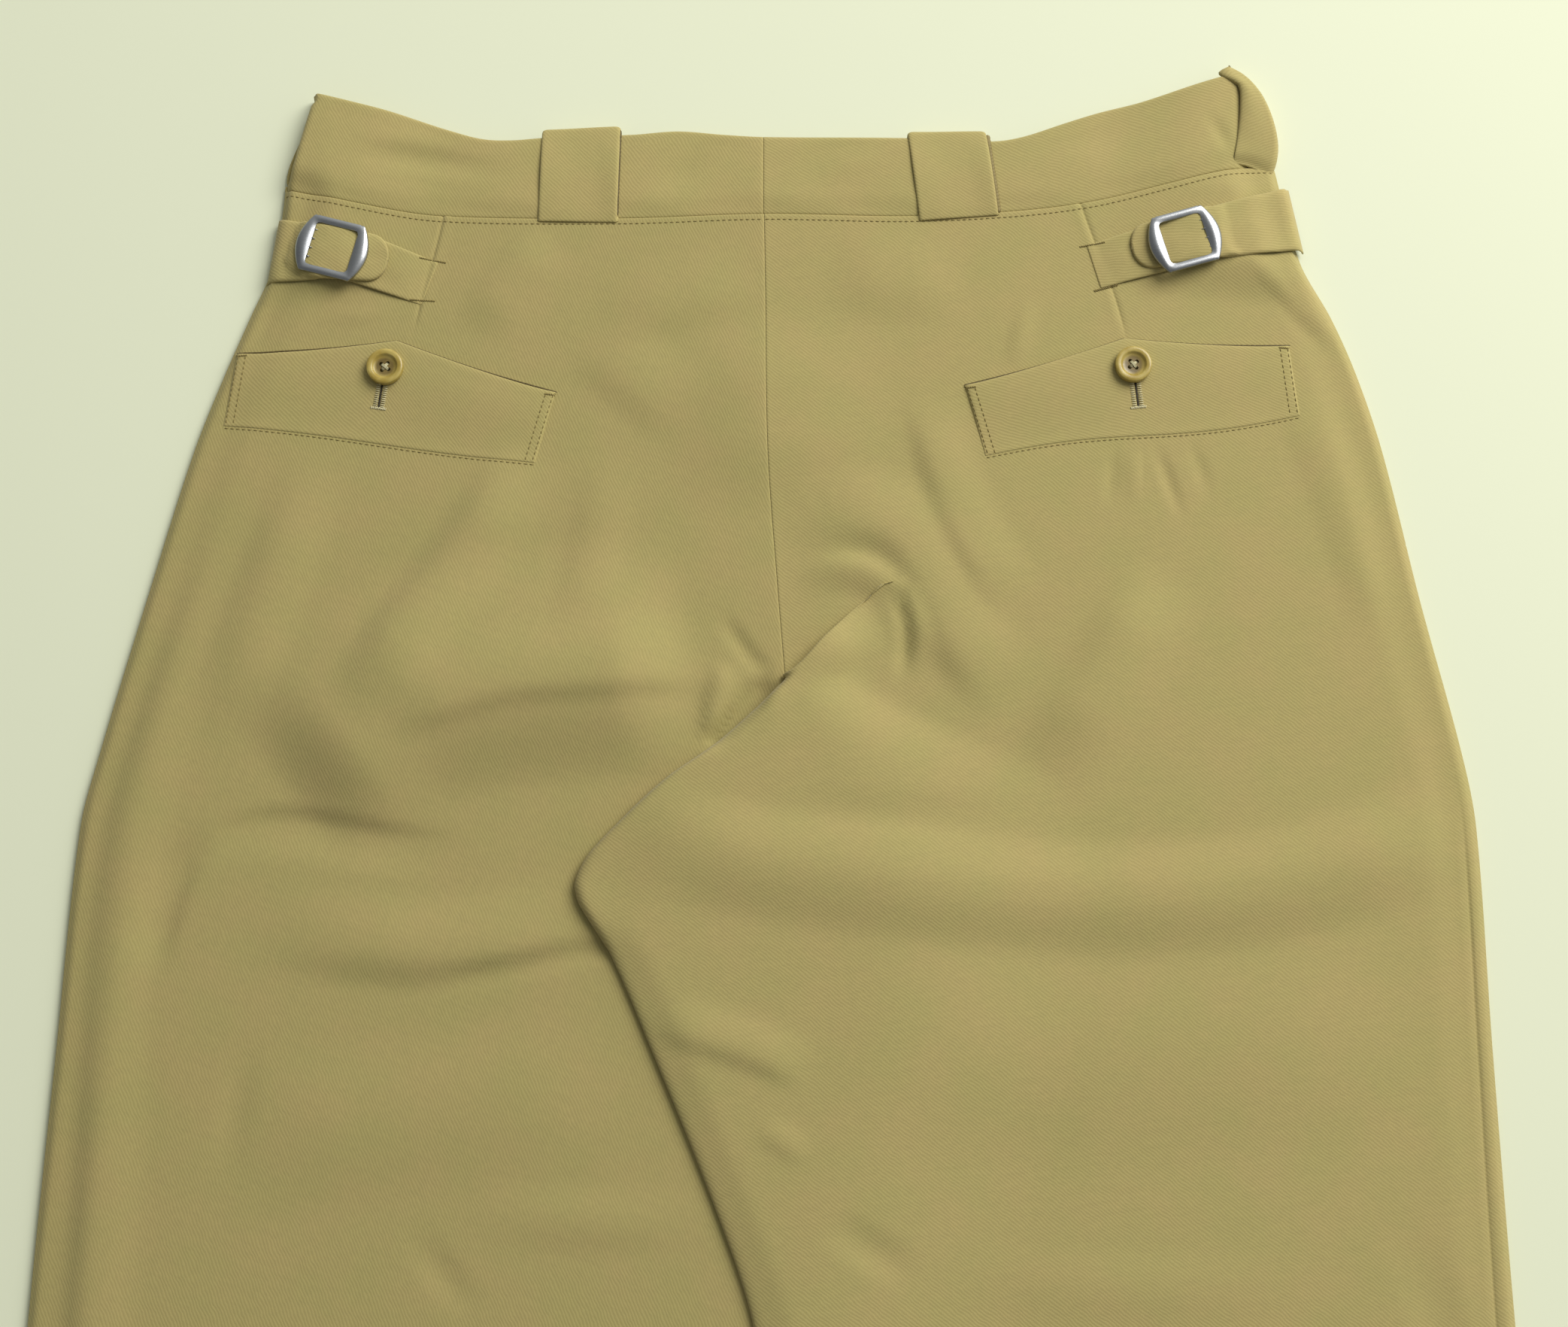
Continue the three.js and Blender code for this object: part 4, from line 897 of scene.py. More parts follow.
def row_of_stitches(path, names, pitch=2.4, from_below=False):
    """Stitches along a path, laid on the named pieces."""
    marks = walk(path, pitch)
    profile = ((0.5 - STITCH_SHARE / 2, 0.02), (0.5, 0.14), (0.5 + STITCH_SHARE / 2, 0.02))
    out = []
    for p, q in zip(marks[:-1], marks[1:]):
        out += laid([(p + (q - p) * t, lift) for t, lift in profile], names, from_below)
    return out


def bar_tack(a, b, names, width=1.3, pitch=0.42, from_below=False):
    """A short dense row of stitches across the line from a to b."""
    marks = walk([a, b], pitch)
    d = np.array(b, float) - np.array(a, float)
    n = np.array([-d[1], d[0]]) / max(1e-6, np.hypot(*d)) * width / 2
    out = []
    for i, p in enumerate(marks):
        slant = d / np.hypot(*d) * 0.16 * (1 if i % 2 else -1)
        out += laid([(p - n - slant, 0.03), (p, 0.22), (p + n + slant, 0.03)], names, from_below)
    return out


def stitched(name, stitches, width, height):
    return mesh_object(name, *stitch_mesh(stitches, width, height))


def build_welt(side):
    """A welt with a pointed top edge, sewn down at its ends and foot; one half of its mouth is slack."""
    welt = WELTS[side]
    panel = "back_%s_cloth" % side
    top_low, peak, top_high = (np.array(welt[k], float) for k in ("top_low", "peak", "top_high"))
    low, high = np.array(welt["low"], float), np.array(welt["high"], float)
    peak_at = (peak[0] - top_low[0]) / (top_high[0] - top_low[0])
    us = np.unique(np.concatenate([[0, 0.003, 0.008, 0.016, 0.03], np.linspace(0.045, 0.955, 56),
                                   [peak_at], [0.97, 0.984, 0.992, 0.997, 1.0]]))
    drops = [(-0.9, 0.7), (-0.45, 0.15), (-0.15, 0.0), (0.0, 0.15), (0.12, 0.6), (0.2, 1.3)]
    vs = [0.24, 0.3, 0.38, 0.46, 0.54, 0.62, 0.7, 0.78, 0.85, 0.9, 0.94, 0.965, 0.985, 1.0]
    rows = []
    for kind, item in [("top", d) for d in drops] + [("body", v) for v in [0.085, 0.13, 0.18] + vs]:
        row = []
        for u in us:
            straight = top_low + (top_high - top_low) * u
            rise = peak[1] - (top_low[1] + (top_high[1] - top_low[1]) * peak_at)
            reach = u / peak_at if u < peak_at else (1 - u) / (1 - peak_at)
            edge = straight + np.array([0, rise * reach ** 1.35])
            foot = low + (high - low) * u
            foot = foot + np.array([0, welt["sag"] * math.sin(math.pi * 2 * u)])
            free = math.sin(math.pi * u) ** 0.5
            half = u - 0.48 if welt["opens_high"] else 0.52 - u
            loose = math.sin(math.pi * min(1, max(0, half / 0.5)))
            raised = 1.05 + 0.55 * free + 0.8 * loose
            end_gap = min(u, 1 - u) * 130
            ends = float(rounded(np.array(end_gap), 1.6))
            if kind == "top":
                fall, inward = item
                p = edge + (foot - edge) / np.linalg.norm(foot - edge) * inward
                lift = raised + fall - 0.2
            else:
                p = edge + (foot - edge) * item
                lift = 0.28 + (raised - 0.28) * float(smooth((1 - item) / 0.8))
                lift -= 0.2 * float(1 - rounded(np.array((1 - item) * 31), 1.0))
            z = top_at([panel], float(p[0]), float(p[1]))
            row.append((p[0], p[1], z + 0.12 + (lift - 0.12) * ends))
        rows.append(row)
    return cloth_piece("welt_" + side, rows, WELT_CLOTH, {"turn": welt["grain"]}, tone_and_painted_light=welt["tone_and_painted_light"])


def build_mouth_shadow(side):
    """Painted shadow of the pocket's open mouth: a fine dark line along the top of its welt."""
    welt = WELTS[side]
    ends = [np.array(welt[k], float) for k in ("top_low", "peak", "top_high")]
    stitches = []
    for a, b in zip(ends[:-1], ends[1:]):
        bow = np.array([0, -1.1])
        path = [tuple(a + (b - a) * t + bow * math.sin(math.pi * t)) for t in np.linspace(0, 1, 9)]
        marks = walk(path, 2.2)
        for p, q in zip(marks[:-1], marks[1:]):
            lean, up = (q - p) * 0.3, np.array([0, 0.25])
            places = [(p - lean + up, 0.02), ((p + q) / 2 + up, 0.02), (q + lean + up, 0.02)]
            stitches += laid(places, ["back_%s_cloth" % side])
    return stitched("pocket_mouth_shadow_" + side, stitches, 0.75, 0.3)


def build_loop(side):
    """A belt loop: turned under at its foot, arched over the band, and over the top edge at its head."""
    loop = LOOPS[side]
    band = "band_back_" + side
    mid = loop["bottom"] + LOOP_WIDTH / 2
    over = top_at([band], mid, float(band_top_y(mid)) - 10) + 0.85
    foot = float(waist_y(mid)) + LOOP_FOOT
    head = loop["head"]
    # Height in the drawing and lift over the band: turned under at the foot, and over the top at the head
    foot_turn = ((2.6, -1.5), (1.0, -1.45), (0.25, -1.3), (0, -1.05), (0.22, -0.75), (0.8, -0.55),
                 (1.8, -0.45))
    head_turn = ((1.6, 0), (0.9, -0.15), (0.35, -0.55), (0.05, -1.2), (0, -2.2), (0.1, -3.2), (0.5, -4.0),
                 (1.6, -4.6), (6, -5.0))
    profile = [(foot + up, dz) for up, dz in foot_turn]
    for t in np.linspace(0.08, 0.93, 16):
        profile.append((foot + (head - foot) * t, 0.8 * math.sin(math.pi * t) - 0.45 * (1 - t) ** 3))
    profile += [(head - down, dz) for down, dz in head_turn]
    across = [0, 0.2, 0.5, 1.0, 1.7, 2.6] + list(np.linspace(4, LOOP_WIDTH - 4, 18))
    across += [LOOP_WIDTH - g for g in (2.6, 1.7, 1.0, 0.5, 0.2, 0)]
    rows = []
    for y, dz in reversed(profile):
        share = min(1, max(0, (y - foot) / (head - foot)))
        left = loop["bottom"] + (loop["top"] - loop["bottom"]) * share
        row = []
        for g in across:
            gap = min(g, LOOP_WIDTH - g)
            roll = 0.7 * (1 - float(rounded(np.array(gap), 1.3)))
            ripple = 0.15 * math.sin(g / 5.2 + y / 13)
            lifted = LOOP_LIFT * float(smooth((g - LOOP_WIDTH + 10) / 10)) * math.sin(math.pi * share)
            slant = (g / LOOP_WIDTH - 0.5) * (loop["foot_slant"] * (1 - share) + loop["head_slant"] * share)
            corner = -1.3 * share ** 6 * (1 - float(rounded(np.array(gap), 2.6)))
            row.append((left + g, y + slant + corner, over + dz - roll + ripple + lifted))
        rows.append(row)
    return cloth_piece("loop_" + side, rows, LOOP_CLOTH, {"turn": loop["turn"]}, tone_and_painted_light=0.45)


def build_loop_inside(side):
    """The inner layer of a belt loop, which shows as a line along its right edge; its dark colour is painted
    shade.
    """
    loop = LOOPS[side]
    band = "band_back_" + side
    places = []
    for share in np.linspace(0.02, 0.95, 24):
        slant = 0.5 * (loop["head_slant"] * share + loop["foot_slant"] * (1 - share))
        y = LOOP_FOOT + (loop["head"] - LOOP_FOOT) * share + slant
        x = loop["bottom"] + (loop["top"] - loop["bottom"]) * share + LOOP_WIDTH + loop["inside_out"]
        z = top_at([band], x, min(y, float(band_top_y(x)) - 0.3))
        places.append((x, y, (z or BAND_TOP_HEIGHT) + 0.5))
    stitches = list(zip(places[:-2], places[1:-1], places[2:]))
    return stitched("loop_inside_" + side, stitches, loop["inside_width"], 0.7)


def band_places(start, end, width_start, width_end, alongs, acrosses, round_end, flare=0.0):
    """Grid of places on a straight strap, with a rounded far end."""
    a, b = np.array(start, float), np.array(end, float)
    length = np.linalg.norm(b - a)
    u = (b - a) / length
    n = np.array([-u[1], u[0]])
    grid = []
    for side in acrosses:
        row = []
        for along in alongs:
            at = along * length
            half = (width_start + (width_end - width_start) * along) / 2
            if round_end and at > length - round_end:
                r = (at - (length - round_end)) / round_end
                half *= math.sqrt(max(0.0, 1 - r ** 2.6)) * 0.999 + 0.001
            p = a + u * at + n * side * half
            p = p + n * flare * (1 - along) ** 2 * min(0, side)
            row.append((p[0], p[1], at, half - abs(side) * half))
        grid.append(row)
    return grid


TAB_WIDTHS = (23, 19.5)
STRAP_WIDTHS = (25.5, 19.5)
STRAP_TIP = 9
STRAP_FLARE = 3.0


def both_ways(shares):
    """Shares of half a width, from one edge over the middle to the other edge."""
    return shares + [0] + [-share for share in reversed(shares)]


def build_tab(side):
    """The tab that holds the buckle: sewn down at its inner end, and free at the buckle."""
    part = ADJUSTERS[side]
    panel = "back_%s_cloth" % side
    alongs = np.concatenate([np.linspace(0, 0.94, 24), [0.96, 0.975, 0.99, 1.0]])
    acrosses = both_ways([1, 0.985, 0.95, 0.9, 0.8, 0.6, 0.4, 0.2])
    places = band_places(part["tab_from"], part["tab_to"], *TAB_WIDTHS, alongs, acrosses, 0)
    length = math.dist(part["tab_from"], part["tab_to"])
    rows = []
    for row in places:
        out = []
        for x, y, at, gap in row:
            z = top_at([panel], x, y)
            free = float(smooth((length - at) / 14))
            lift = 0.35 + 1.15 * free
            edge = float(rounded(np.array(gap), 1.3))
            low = 0.12 + 0.75 * free
            z += low + (lift - low) * edge + 0.12 * free * math.sin(at / 4.1 + gap / 3.0)
            out.append((x, y, z))
        rows.append(out)
    if side == "right":
        rows = [row[::-1] for row in rows[::-1]]
    return cloth_piece("tab_" + side, rows, TAB_CLOTH, {"turn": part["tab_grain"]}, tone_and_painted_light=0.25)


def build_strap(side):
    """The strap from the side seam, over the tab and through the buckle, with a rounded tip."""
    part = ADJUSTERS[side]
    panel = "back_%s_cloth" % side
    band = "band_back_" + side
    tab = "tab_" + side
    length = math.dist(part["strap_from"], part["strap_to"])
    alongs = np.concatenate([[0, 0.008, 0.02, 0.04, 0.065], np.linspace(0.1, 0.85, 26),
                             [0.88, 0.91, 0.935, 0.955, 0.972, 0.985, 0.994, 1.0]])
    acrosses = both_ways([1, 0.985, 0.95, 0.9, 0.82, 0.66, 0.5, 0.33, 0.16])
    places = band_places(part["strap_from"], part["strap_to"], *STRAP_WIDTHS, alongs, acrosses, STRAP_TIP,
                         flare=STRAP_FLARE)
    side_z = 1.9
    buckle_at = abs(part["buckle"][0] - part["strap_from"][0])
    rows = []
    for row in places:
        out = []
        for x, y, at, gap in row:
            around = [top_at([panel, tab, band], x + dx, y + dy) or 0.0
                      for dx, dy in ((0, 0), (4, 0), (-4, 0), (0, 4), (0, -4))]
            found = max(around)
            edge = float(rounded(np.array(gap), 1.5))
            through_buckle = 1.3 + 0.75 * math.exp(-((at - buckle_at) / 9.0) ** 4)
            lift = 1.15 + (through_buckle - 1.15) * float(smooth((length - at) / 9))
            z = found + lift - (1 - edge) + 0.15 * math.sin(at / 6.0 + gap / 4.0)
            turned = float(rounded(np.array(at), 5.5))
            z = side_z + (z - side_z) * turned
            out.append((x, y, z))
        rows.append(out)
    if side == "right":
        rows = [row[::-1] for row in rows[::-1]]
    return cloth_piece("strap_" + side, rows, STRAP_CLOTH, {"turn": part["strap_grain"]}, tone_and_painted_light=0.3)


# Hard pieces, modelled with Blender's own tools

def start_edit(obj):
    bpy.context.view_layer.objects.active = obj
    obj.select_set(True)
    bpy.ops.object.mode_set(mode="EDIT")
    bpy.ops.mesh.select_mode(type="VERT")


def clear_selection():
    if bpy.context.mode != "OBJECT":
        bpy.ops.object.mode_set(mode="OBJECT")
    bpy.ops.object.select_all(action="DESELECT")


def pick(obj, where, kind="VERT"):
    """Selects the vertices or faces of the object in edit mode whose place passes a test."""
    bpy.ops.mesh.select_mode(type=kind)
    bpy.ops.mesh.select_all(action="DESELECT")
    bpy.ops.object.mode_set(mode="OBJECT")
    if kind == "VERT":
        for v in obj.data.vertices:
            v.select = bool(where(v.co))
    else:
        for f in obj.data.polygons:
            f.select = bool(where(f.center, f.normal))
    bpy.ops.object.mode_set(mode="EDIT")


def shift(obj, where, by):
    pick(obj, where)
    bpy.ops.transform.translate(value=by)


def finish_modifier(obj, kind, **settings):
    mod = obj.modifiers.new(kind.lower(), kind)
    for key, value in settings.items():
        setattr(mod, key, value)
    clear_selection()
    obj.select_set(True)
    bpy.context.view_layer.objects.active = obj
    bpy.ops.object.modifier_apply(modifier=mod.name)


def settle_in_mesh(obj, centre, turn, scale=MM):
    """Puts the object's place, turn and size into its mesh."""
    clear_selection()
    obj.select_set(True)
    bpy.context.view_layer.objects.active = obj
    obj.scale = (scale, scale, scale)
    obj.rotation_euler = (0, 0, math.radians(turn))
    obj.location = [(c + d) * MM for c, d in zip(centre, DRAWING_AT)]
    bpy.ops.object.transform_apply(location=True, rotation=True, scale=True)


def build_buckle(side):
    """A stamped frame: two broad domed side bars that bulge outwards, and two narrow cross bars."""
    part = ADJUSTERS[side]
    half_height, window, window_height = 12.4, 8.9, 9.3
    clear_selection()
    bpy.ops.mesh.primitive_grid_add(x_subdivisions=8, y_subdivisions=10, size=2)
    piece = bpy.context.object
    piece.name = "buckle_frame_" + side
    start_edit(piece)
    ys = [-half_height, -11.7, -10.6, -window_height, -4.9, 0, 4.9, window_height, 10.6, 11.7, half_height]
    for i in range(len(ys)):
        shift(piece, lambda co, i=i: abs(co.y - (-1 + i / 5)) < 1e-3 and abs(co.z) < 1e-3, (0, 0, i + 1))
    for i, y in enumerate(ys):
        shift(piece, lambda co, i=i: abs(co.z - (i + 1)) < 1e-3, (0, y - (-1 + i / 5), -(i + 1)))
    reaches = {}
    for y in ys:
        reach = 10.6 + 4.9 * (1 - (abs(y) / half_height) ** 2)
        reaches[y] = (window + (reach - window) * 0.38, window + (reach - window) * 0.76, reach)
        for c, x in zip((2, 3, 4), reaches[y]):
            for sign in (-1, 1):
                at = sign * 0.25 * c
                shift(piece, lambda co, y=y, at=at: abs(co.y - y) < 1e-3 and abs(co.x - at) < 1e-4,
                      (sign * (x + 20) - at, 0, 0))
    for sign in (-1, 1):
        shift(piece, lambda co, sign=sign: abs(co.x - sign * 0.25) < 1e-4, (sign * (window - 0.25), 0, 0))
        shift(piece, lambda co, sign=sign: co.x * sign > 20, (-sign * 20, 0, 0))
    pick(piece, lambda c, n: abs(c.x) < window and abs(c.y) < window_height, kind="FACE")
    bpy.ops.mesh.delete(type="FACE")
    pick(piece, lambda c, n: True, kind="FACE")
    bpy.ops.mesh.extrude_region_move(TRANSFORM_OT_translate={"value": (0, 0, 1.2)})
    bpy.ops.mesh.select_all(action="SELECT")
    bpy.ops.mesh.normals_make_consistent(inside=False)
    # The crest stands highest at the middle of each side bar and runs low round the cross bars
    for y in ys:
        crest = 0.45 + 1.0 * (1 - (min(abs(y), 10.6) / 10.6) ** 2)
        if abs(y) < half_height - 0.1:
            for column, share in ((0, 1.0), (1, 0.75)):
                at = reaches[y][column]
                shift(piece, lambda co, y=y, at=at: (co.z > 1 and abs(co.y - y) < 1e-3
                                                     and abs(abs(co.x) - at) < 1e-3), (0, 0, crest * share))
        if window_height < abs(y) < half_height - 0.1:
            shift(piece, lambda co, y=y: co.z > 1 and abs(co.y - y) < 1e-3 and abs(co.x) < window + 0.01,
                  (0, 0, 0.45 if abs(y) < 11 else 0.35))
    shift(piece, lambda co: abs(co.x) > window + 0.5, (0, 0, -0.25))
    clear_selection()
    finish_modifier(piece, "BEVEL", width=0.2, segments=2, limit_method="ANGLE",
                    angle_limit=math.radians(60))
    finish_modifier(piece, "SUBSURF", levels=2, render_levels=2)
    teeth = []
    inward = -1 if side == "left" else 1
    for y in (-6.0, -2.0, 2.0, 6.0):
        clear_selection()
        bpy.ops.mesh.primitive_cone_add(vertices=16, radius1=0.6, radius2=0.14, depth=1.5)
        tooth = bpy.context.object
        start_edit(tooth)
        bpy.ops.mesh.select_all(action="SELECT")
        bpy.ops.transform.resize(value=(1, 0.6, 1))
        bpy.ops.object.mode_set(mode="OBJECT")
        finish_modifier(tooth, "BEVEL", width=0.1, segments=2, limit_method="ANGLE")
        tooth.rotation_euler = (0, math.radians(-90 * inward), 0)
        tooth.location = (inward * (window - 0.4), y, 0.8)
        teeth.append(tooth)
    clear_selection()
    for tooth in teeth:
        tooth.select_set(True)
    piece.select_set(True)
    bpy.context.view_layer.objects.active = piece
    bpy.ops.object.join()
    x, y = part["buckle"]
    under = top_at(["strap_" + side], x, y)
    settle_in_mesh(piece, (x, y, under - part["buckle_sink"]), part["turn"])
    bpy.ops.object.shade_smooth_by_angle(angle=math.radians(60))
    return piece


BUTTON_RADIUS = 7.5
BUTTON_HOLE_OUT = 1.35


def build_button(side):
    """A four-hole button: a rounded rim round a dished middle."""
    welt = WELTS[side]
    x, y = welt["button"]
    clear_selection()
    bpy.ops.mesh.primitive_cylinder_add(vertices=64, radius=BUTTON_RADIUS, depth=2.6)
    disc = bpy.context.object
    disc.name = "button_disc_" + side
    start_edit(disc)
    pick(disc, lambda c, n: n.z > 0.9, kind="FACE")
    for thickness, depth in ((0.9, 0.35), (1.3, -0.1), (0.8, -1.0), (1.4, -0.25)):
        bpy.ops.mesh.inset(thickness=thickness, depth=depth)
    pick(disc, lambda c, n: n.z < -0.9, kind="FACE")
    bpy.ops.mesh.inset(thickness=1.6, depth=0.6)
    clear_selection()
    finish_modifier(disc, "BEVEL", width=0.3, segments=3, limit_method="ANGLE", angle_limit=math.radians(25))
    for dx in (-BUTTON_HOLE_OUT, BUTTON_HOLE_OUT):
        for dy in (-BUTTON_HOLE_OUT, BUTTON_HOLE_OUT):
            clear_selection()
            bpy.ops.mesh.primitive_cylinder_add(vertices=20, radius=0.82, depth=8, location=(dx, dy, 0))
            drill = bpy.context.object
            finish_modifier(disc, "BOOLEAN", operation="DIFFERENCE", solver="EXACT", object=drill)
            bpy.data.objects.remove(drill, do_unlink=True)
    under = top_at(["welt_" + side], x, y)
    settle_in_mesh(disc, (x, y, under + 1.6), welt["button_turn"])
    bpy.ops.object.shade_smooth_by_angle(angle=math.radians(35))
    centre = Vector(((x + DRAWING_AT[0]) * MM, (y + DRAWING_AT[1]) * MM))
    reach = [(v.co.xy - centre).length / (BUTTON_RADIUS * MM) for v in disc.data.vertices]
    values(disc.data, "across", reach)
    return disc


def build_button_thread(side):
    """A cross of thread through the four holes, and the wound shank under the button."""
    welt = WELTS[side]
    x, y = welt["button"]
    z = top_at(["welt_" + side], x, y)
    turn = math.radians(welt["button_turn"])
    stitches = []
    for k, (sx, sy) in enumerate(((1, 1), (1, -1))):
        for offset in (-0.36, 0.0, 0.36):
            ends = []
            for t in (-1, 0, 1):
                px = 1.5 * sx * t - offset * sy * 0.7
                py = 1.5 * sy * t + offset * sx * 0.7
                rx = px * math.cos(turn) - py * math.sin(turn)
                ry = px * math.sin(turn) + py * math.cos(turn)
                ends.append((x + rx, y + ry, z + (2.4 if t == 0 else 1.5) + 0.2 * k))
            stitches.append(ends)
    verts, faces = stitch_mesh(stitches, 0.55, 0.5)
    shank = []
    for i in range(14):
        t = 2 * math.pi * i / 14
        shank.append(((x + 1.5 * math.cos(t), y + 1.5 * math.sin(t), z - 0.2),
                      (x + 1.25 * math.cos(t + 0.2), y + 1.25 * math.sin(t + 0.2), z + 0.4),
                      (x + 1.5 * math.cos(t + 0.4), y + 1.5 * math.sin(t + 0.4), z + 1.2)))
    more, more_faces = stitch_mesh(shank, 0.75, 0.7)
    faces = faces + [tuple(i + len(verts) for i in f) for f in more_faces]
    return mesh_object("button_thread_" + side, verts + more, faces)


def slit_ends(side, below_button):
    """Both ends of the part of a buttonhole that shows below its button."""
    welt = WELTS[side]
    return np.array(welt["button"], float) + (welt["hole_head"], -below_button), np.array(welt["hole_foot"])


def build_buttonhole(side):
    """Dense stitches down both sides of the slit below the button, and a bar across its foot."""
    name = ["welt_" + side]
    head, foot = slit_ends(side, 4)
    d = foot - head
    length = np.hypot(*d)
    u = d / length
    n = np.array([-u[1], u[0]])
    stitches = []
    count = int(length / 0.85)
    for i in range(count + 1):
        p = head + u * (length * i / count)
        for s in (-1, 1):
            places = ((0.4, 0.1), (1.45, 0.32), (2.6, 0.05))
            stitches += laid([(p + s * (n * gap + u * 0.16), lift) for gap, lift in places], name)
    stitches += bar_tack(tuple(foot - n * 3.0), tuple(foot + n * 3.0), name, width=1.4, pitch=0.45)
    return stitched("buttonhole_" + side, stitches, 0.5, 0.4)


def build_slit_shadow(side):
    """Painted shadow in the gap of the slit itself: a dark line just under its stitches."""
    stitches = []
    marks = walk(slit_ends(side, 2), 1.6)
    for p, q in zip(marks[:-1], marks[1:]):
        a, b = p - (q - p) * 0.3, q + (q - p) * 0.3
        stitches += laid([(v, 0.04) for v in (a, (a + b) / 2, b)], ["welt_" + side])
    return stitched("buttonhole_slit_shadow_" + side, stitches, 1.0, 0.22)


# Materials

def new_group(name, inputs, outputs):
    group = bpy.data.node_groups.new(name, "ShaderNodeTree")
    for label, kind, value in inputs:
        socket = group.interface.new_socket(name=label, in_out="INPUT", socket_type=kind)
        if value is not None:
            socket.default_value = value
    for label, kind in outputs:
        group.interface.new_socket(name=label, in_out="OUTPUT", socket_type=kind)
    return group, group.nodes.new("NodeGroupInput"), group.nodes.new("NodeGroupOutput")


def math_node(nodes, links, operation, a, b=None, c=None):
    node = nodes.new("ShaderNodeMath")
    node.operation = operation
    for i, v in enumerate((a, b, c)):
        if v is None:
            continue
        if isinstance(v, (int, float)):
            node.inputs[i].default_value = v
        else:
            links.new(v, node.inputs[i])
    return node.outputs[0]


def noise_node(nodes, links, vector, scale, detail=3.0, rough=0.5):
    node = nodes.new("ShaderNodeTexNoise")
    if isinstance(scale, (int, float)):
        node.inputs["Scale"].default_value = scale
    else:
        links.new(scale, node.inputs["Scale"])
    node.inputs["Detail"].default_value = detail
    node.inputs["Roughness"].default_value = rough
    links.new(vector, node.inputs["Vector"])
    return node.outputs["Fac"]


def twill_group():
    """Diagonal wales with the yarns that cross them. Height for the bump, Shade for the painted shade that
    darkens the grooves between wales.
    """
    group, put, out = new_group("twill wale", [
        ("Vector", "NodeSocketVector", None), ("Pitch", "NodeSocketFloat", 0.0011),
        ("Irregularity", "NodeSocketFloat", 0.35),
    ], [("Height", "NodeSocketFloat"), ("Shade", "NodeSocketFloat")])
    n, l = group.nodes, group.links
    maths = partial(math_node, n, l)
    xyz = n.new("ShaderNodeSeparateXYZ")
    l.new(put.outputs["Vector"], xyz.inputs[0])
    slow = noise_node(n, l, put.outputs["Vector"], 160.0, 2.0)
    fine = noise_node(n, l, put.outputs["Vector"], 1400.0, 2.0)
    turns = maths("DIVIDE", 2 * math.pi, put.outputs["Pitch"])
    slant = maths("ADD", xyz.outputs[0], xyz.outputs[1])
    slant = maths("MULTIPLY", slant, 0.7071)
    phase = maths("MULTIPLY", slant, turns)
    wander = maths("SUBTRACT", slow, 0.5)
    wander = maths("MULTIPLY", wander, 9.0)
    jitter = maths("SUBTRACT", fine, 0.5)
    jitter = maths("MULTIPLY", jitter, put.outputs["Irregularity"])
    jitter = maths("MULTIPLY", jitter, 6.0)
    phase = maths("ADD", phase, wander)
    phase = maths("ADD", phase, jitter)
    wale = maths("SINE", phase)
    wale = maths("MULTIPLY_ADD", wale, 0.5, 0.5)
    yarn = maths("MULTIPLY", xyz.outputs[0], turns)
    yarn = maths("MULTIPLY", yarn, 1.9)
    yarn = maths("SINE", yarn)
    yarn = maths("MULTIPLY_ADD", yarn, 0.5, 0.5)
    cut = maths("MULTIPLY", wale, yarn)
    height = maths("MULTIPLY", wale, 0.72)
    height = maths("MULTIPLY_ADD", cut, 0.28, height)
    height = maths("MULTIPLY_ADD", fine, 0.25, height)
    l.new(height, out.inputs["Height"])
    l.new(wale, out.inputs["Shade"])
    return group


def mottle_group():
    """Soft uneven dye and faint slubs: a slow value, a fine value and a slub value."""
    group, put, out = new_group("uneven dye", [
        ("Vector", "NodeSocketVector", None), ("Size", "NodeSocketFloat", 0.02),
    ], [("Slow", "NodeSocketFloat"), ("Fine", "NodeSocketFloat"), ("Slub", "NodeSocketFloat")])
    n, l = group.nodes, group.links
    maths = partial(math_node, n, l)
    scale = maths("DIVIDE", 1.0, put.outputs["Size"])
    fine_scale = maths("MULTIPLY", scale, 9.0)
    l.new(noise_node(n, l, put.outputs["Vector"], scale, 3.0), out.inputs["Slow"])
    l.new(noise_node(n, l, put.outputs["Vector"], fine_scale, 2.0), out.inputs["Fine"])
    stretch = n.new("ShaderNodeMapping")
    stretch.inputs["Scale"].default_value = (60.0, 900.0, 60.0)
    l.new(put.outputs["Vector"], stretch.inputs["Vector"])
    l.new(noise_node(n, l, stretch.outputs[0], 1.0, 2.0), out.inputs["Slub"])
    return group


def scratch_group():
    """Fine scratches and handling marks on a hard surface."""
    group, put, out = new_group("handling marks", [
        ("Vector", "NodeSocketVector", None), ("Size", "NodeSocketFloat", 0.004),
    ], [("Marks", "NodeSocketFloat"), ("Smudge", "NodeSocketFloat")])
    n, l = group.nodes, group.links
    maths = partial(math_node, n, l)
    scale = maths("DIVIDE", 1.0, put.outputs["Size"])
    l.new(noise_node(n, l, put.outputs["Vector"], scale, 3.0), out.inputs["Smudge"])
    stretch = n.new("ShaderNodeMapping")
    stretch.inputs["Rotation"].default_value = (0.0, 0.0, 0.5)
    stretch.inputs["Scale"].default_value = (300.0, 6000.0, 1200.0)
    l.new(put.outputs["Vector"], stretch.inputs["Vector"])
    l.new(noise_node(n, l, stretch.outputs[0], 1.0, 2.0), out.inputs["Marks"])
    return group


TWILL, MOTTLE, SCRATCH = twill_group(), mottle_group(), scratch_group()


def material(name):
    mat = bpy.data.materials.new(name)
    mat.use_nodes = True
    nodes, links = mat.node_tree.nodes, mat.node_tree.links
    shader = nodes["Principled BSDF"]
    return mat, nodes, links, shader


def placed(nodes, group):
    node = nodes.new("ShaderNodeGroup")
    node.node_tree = group
    return node


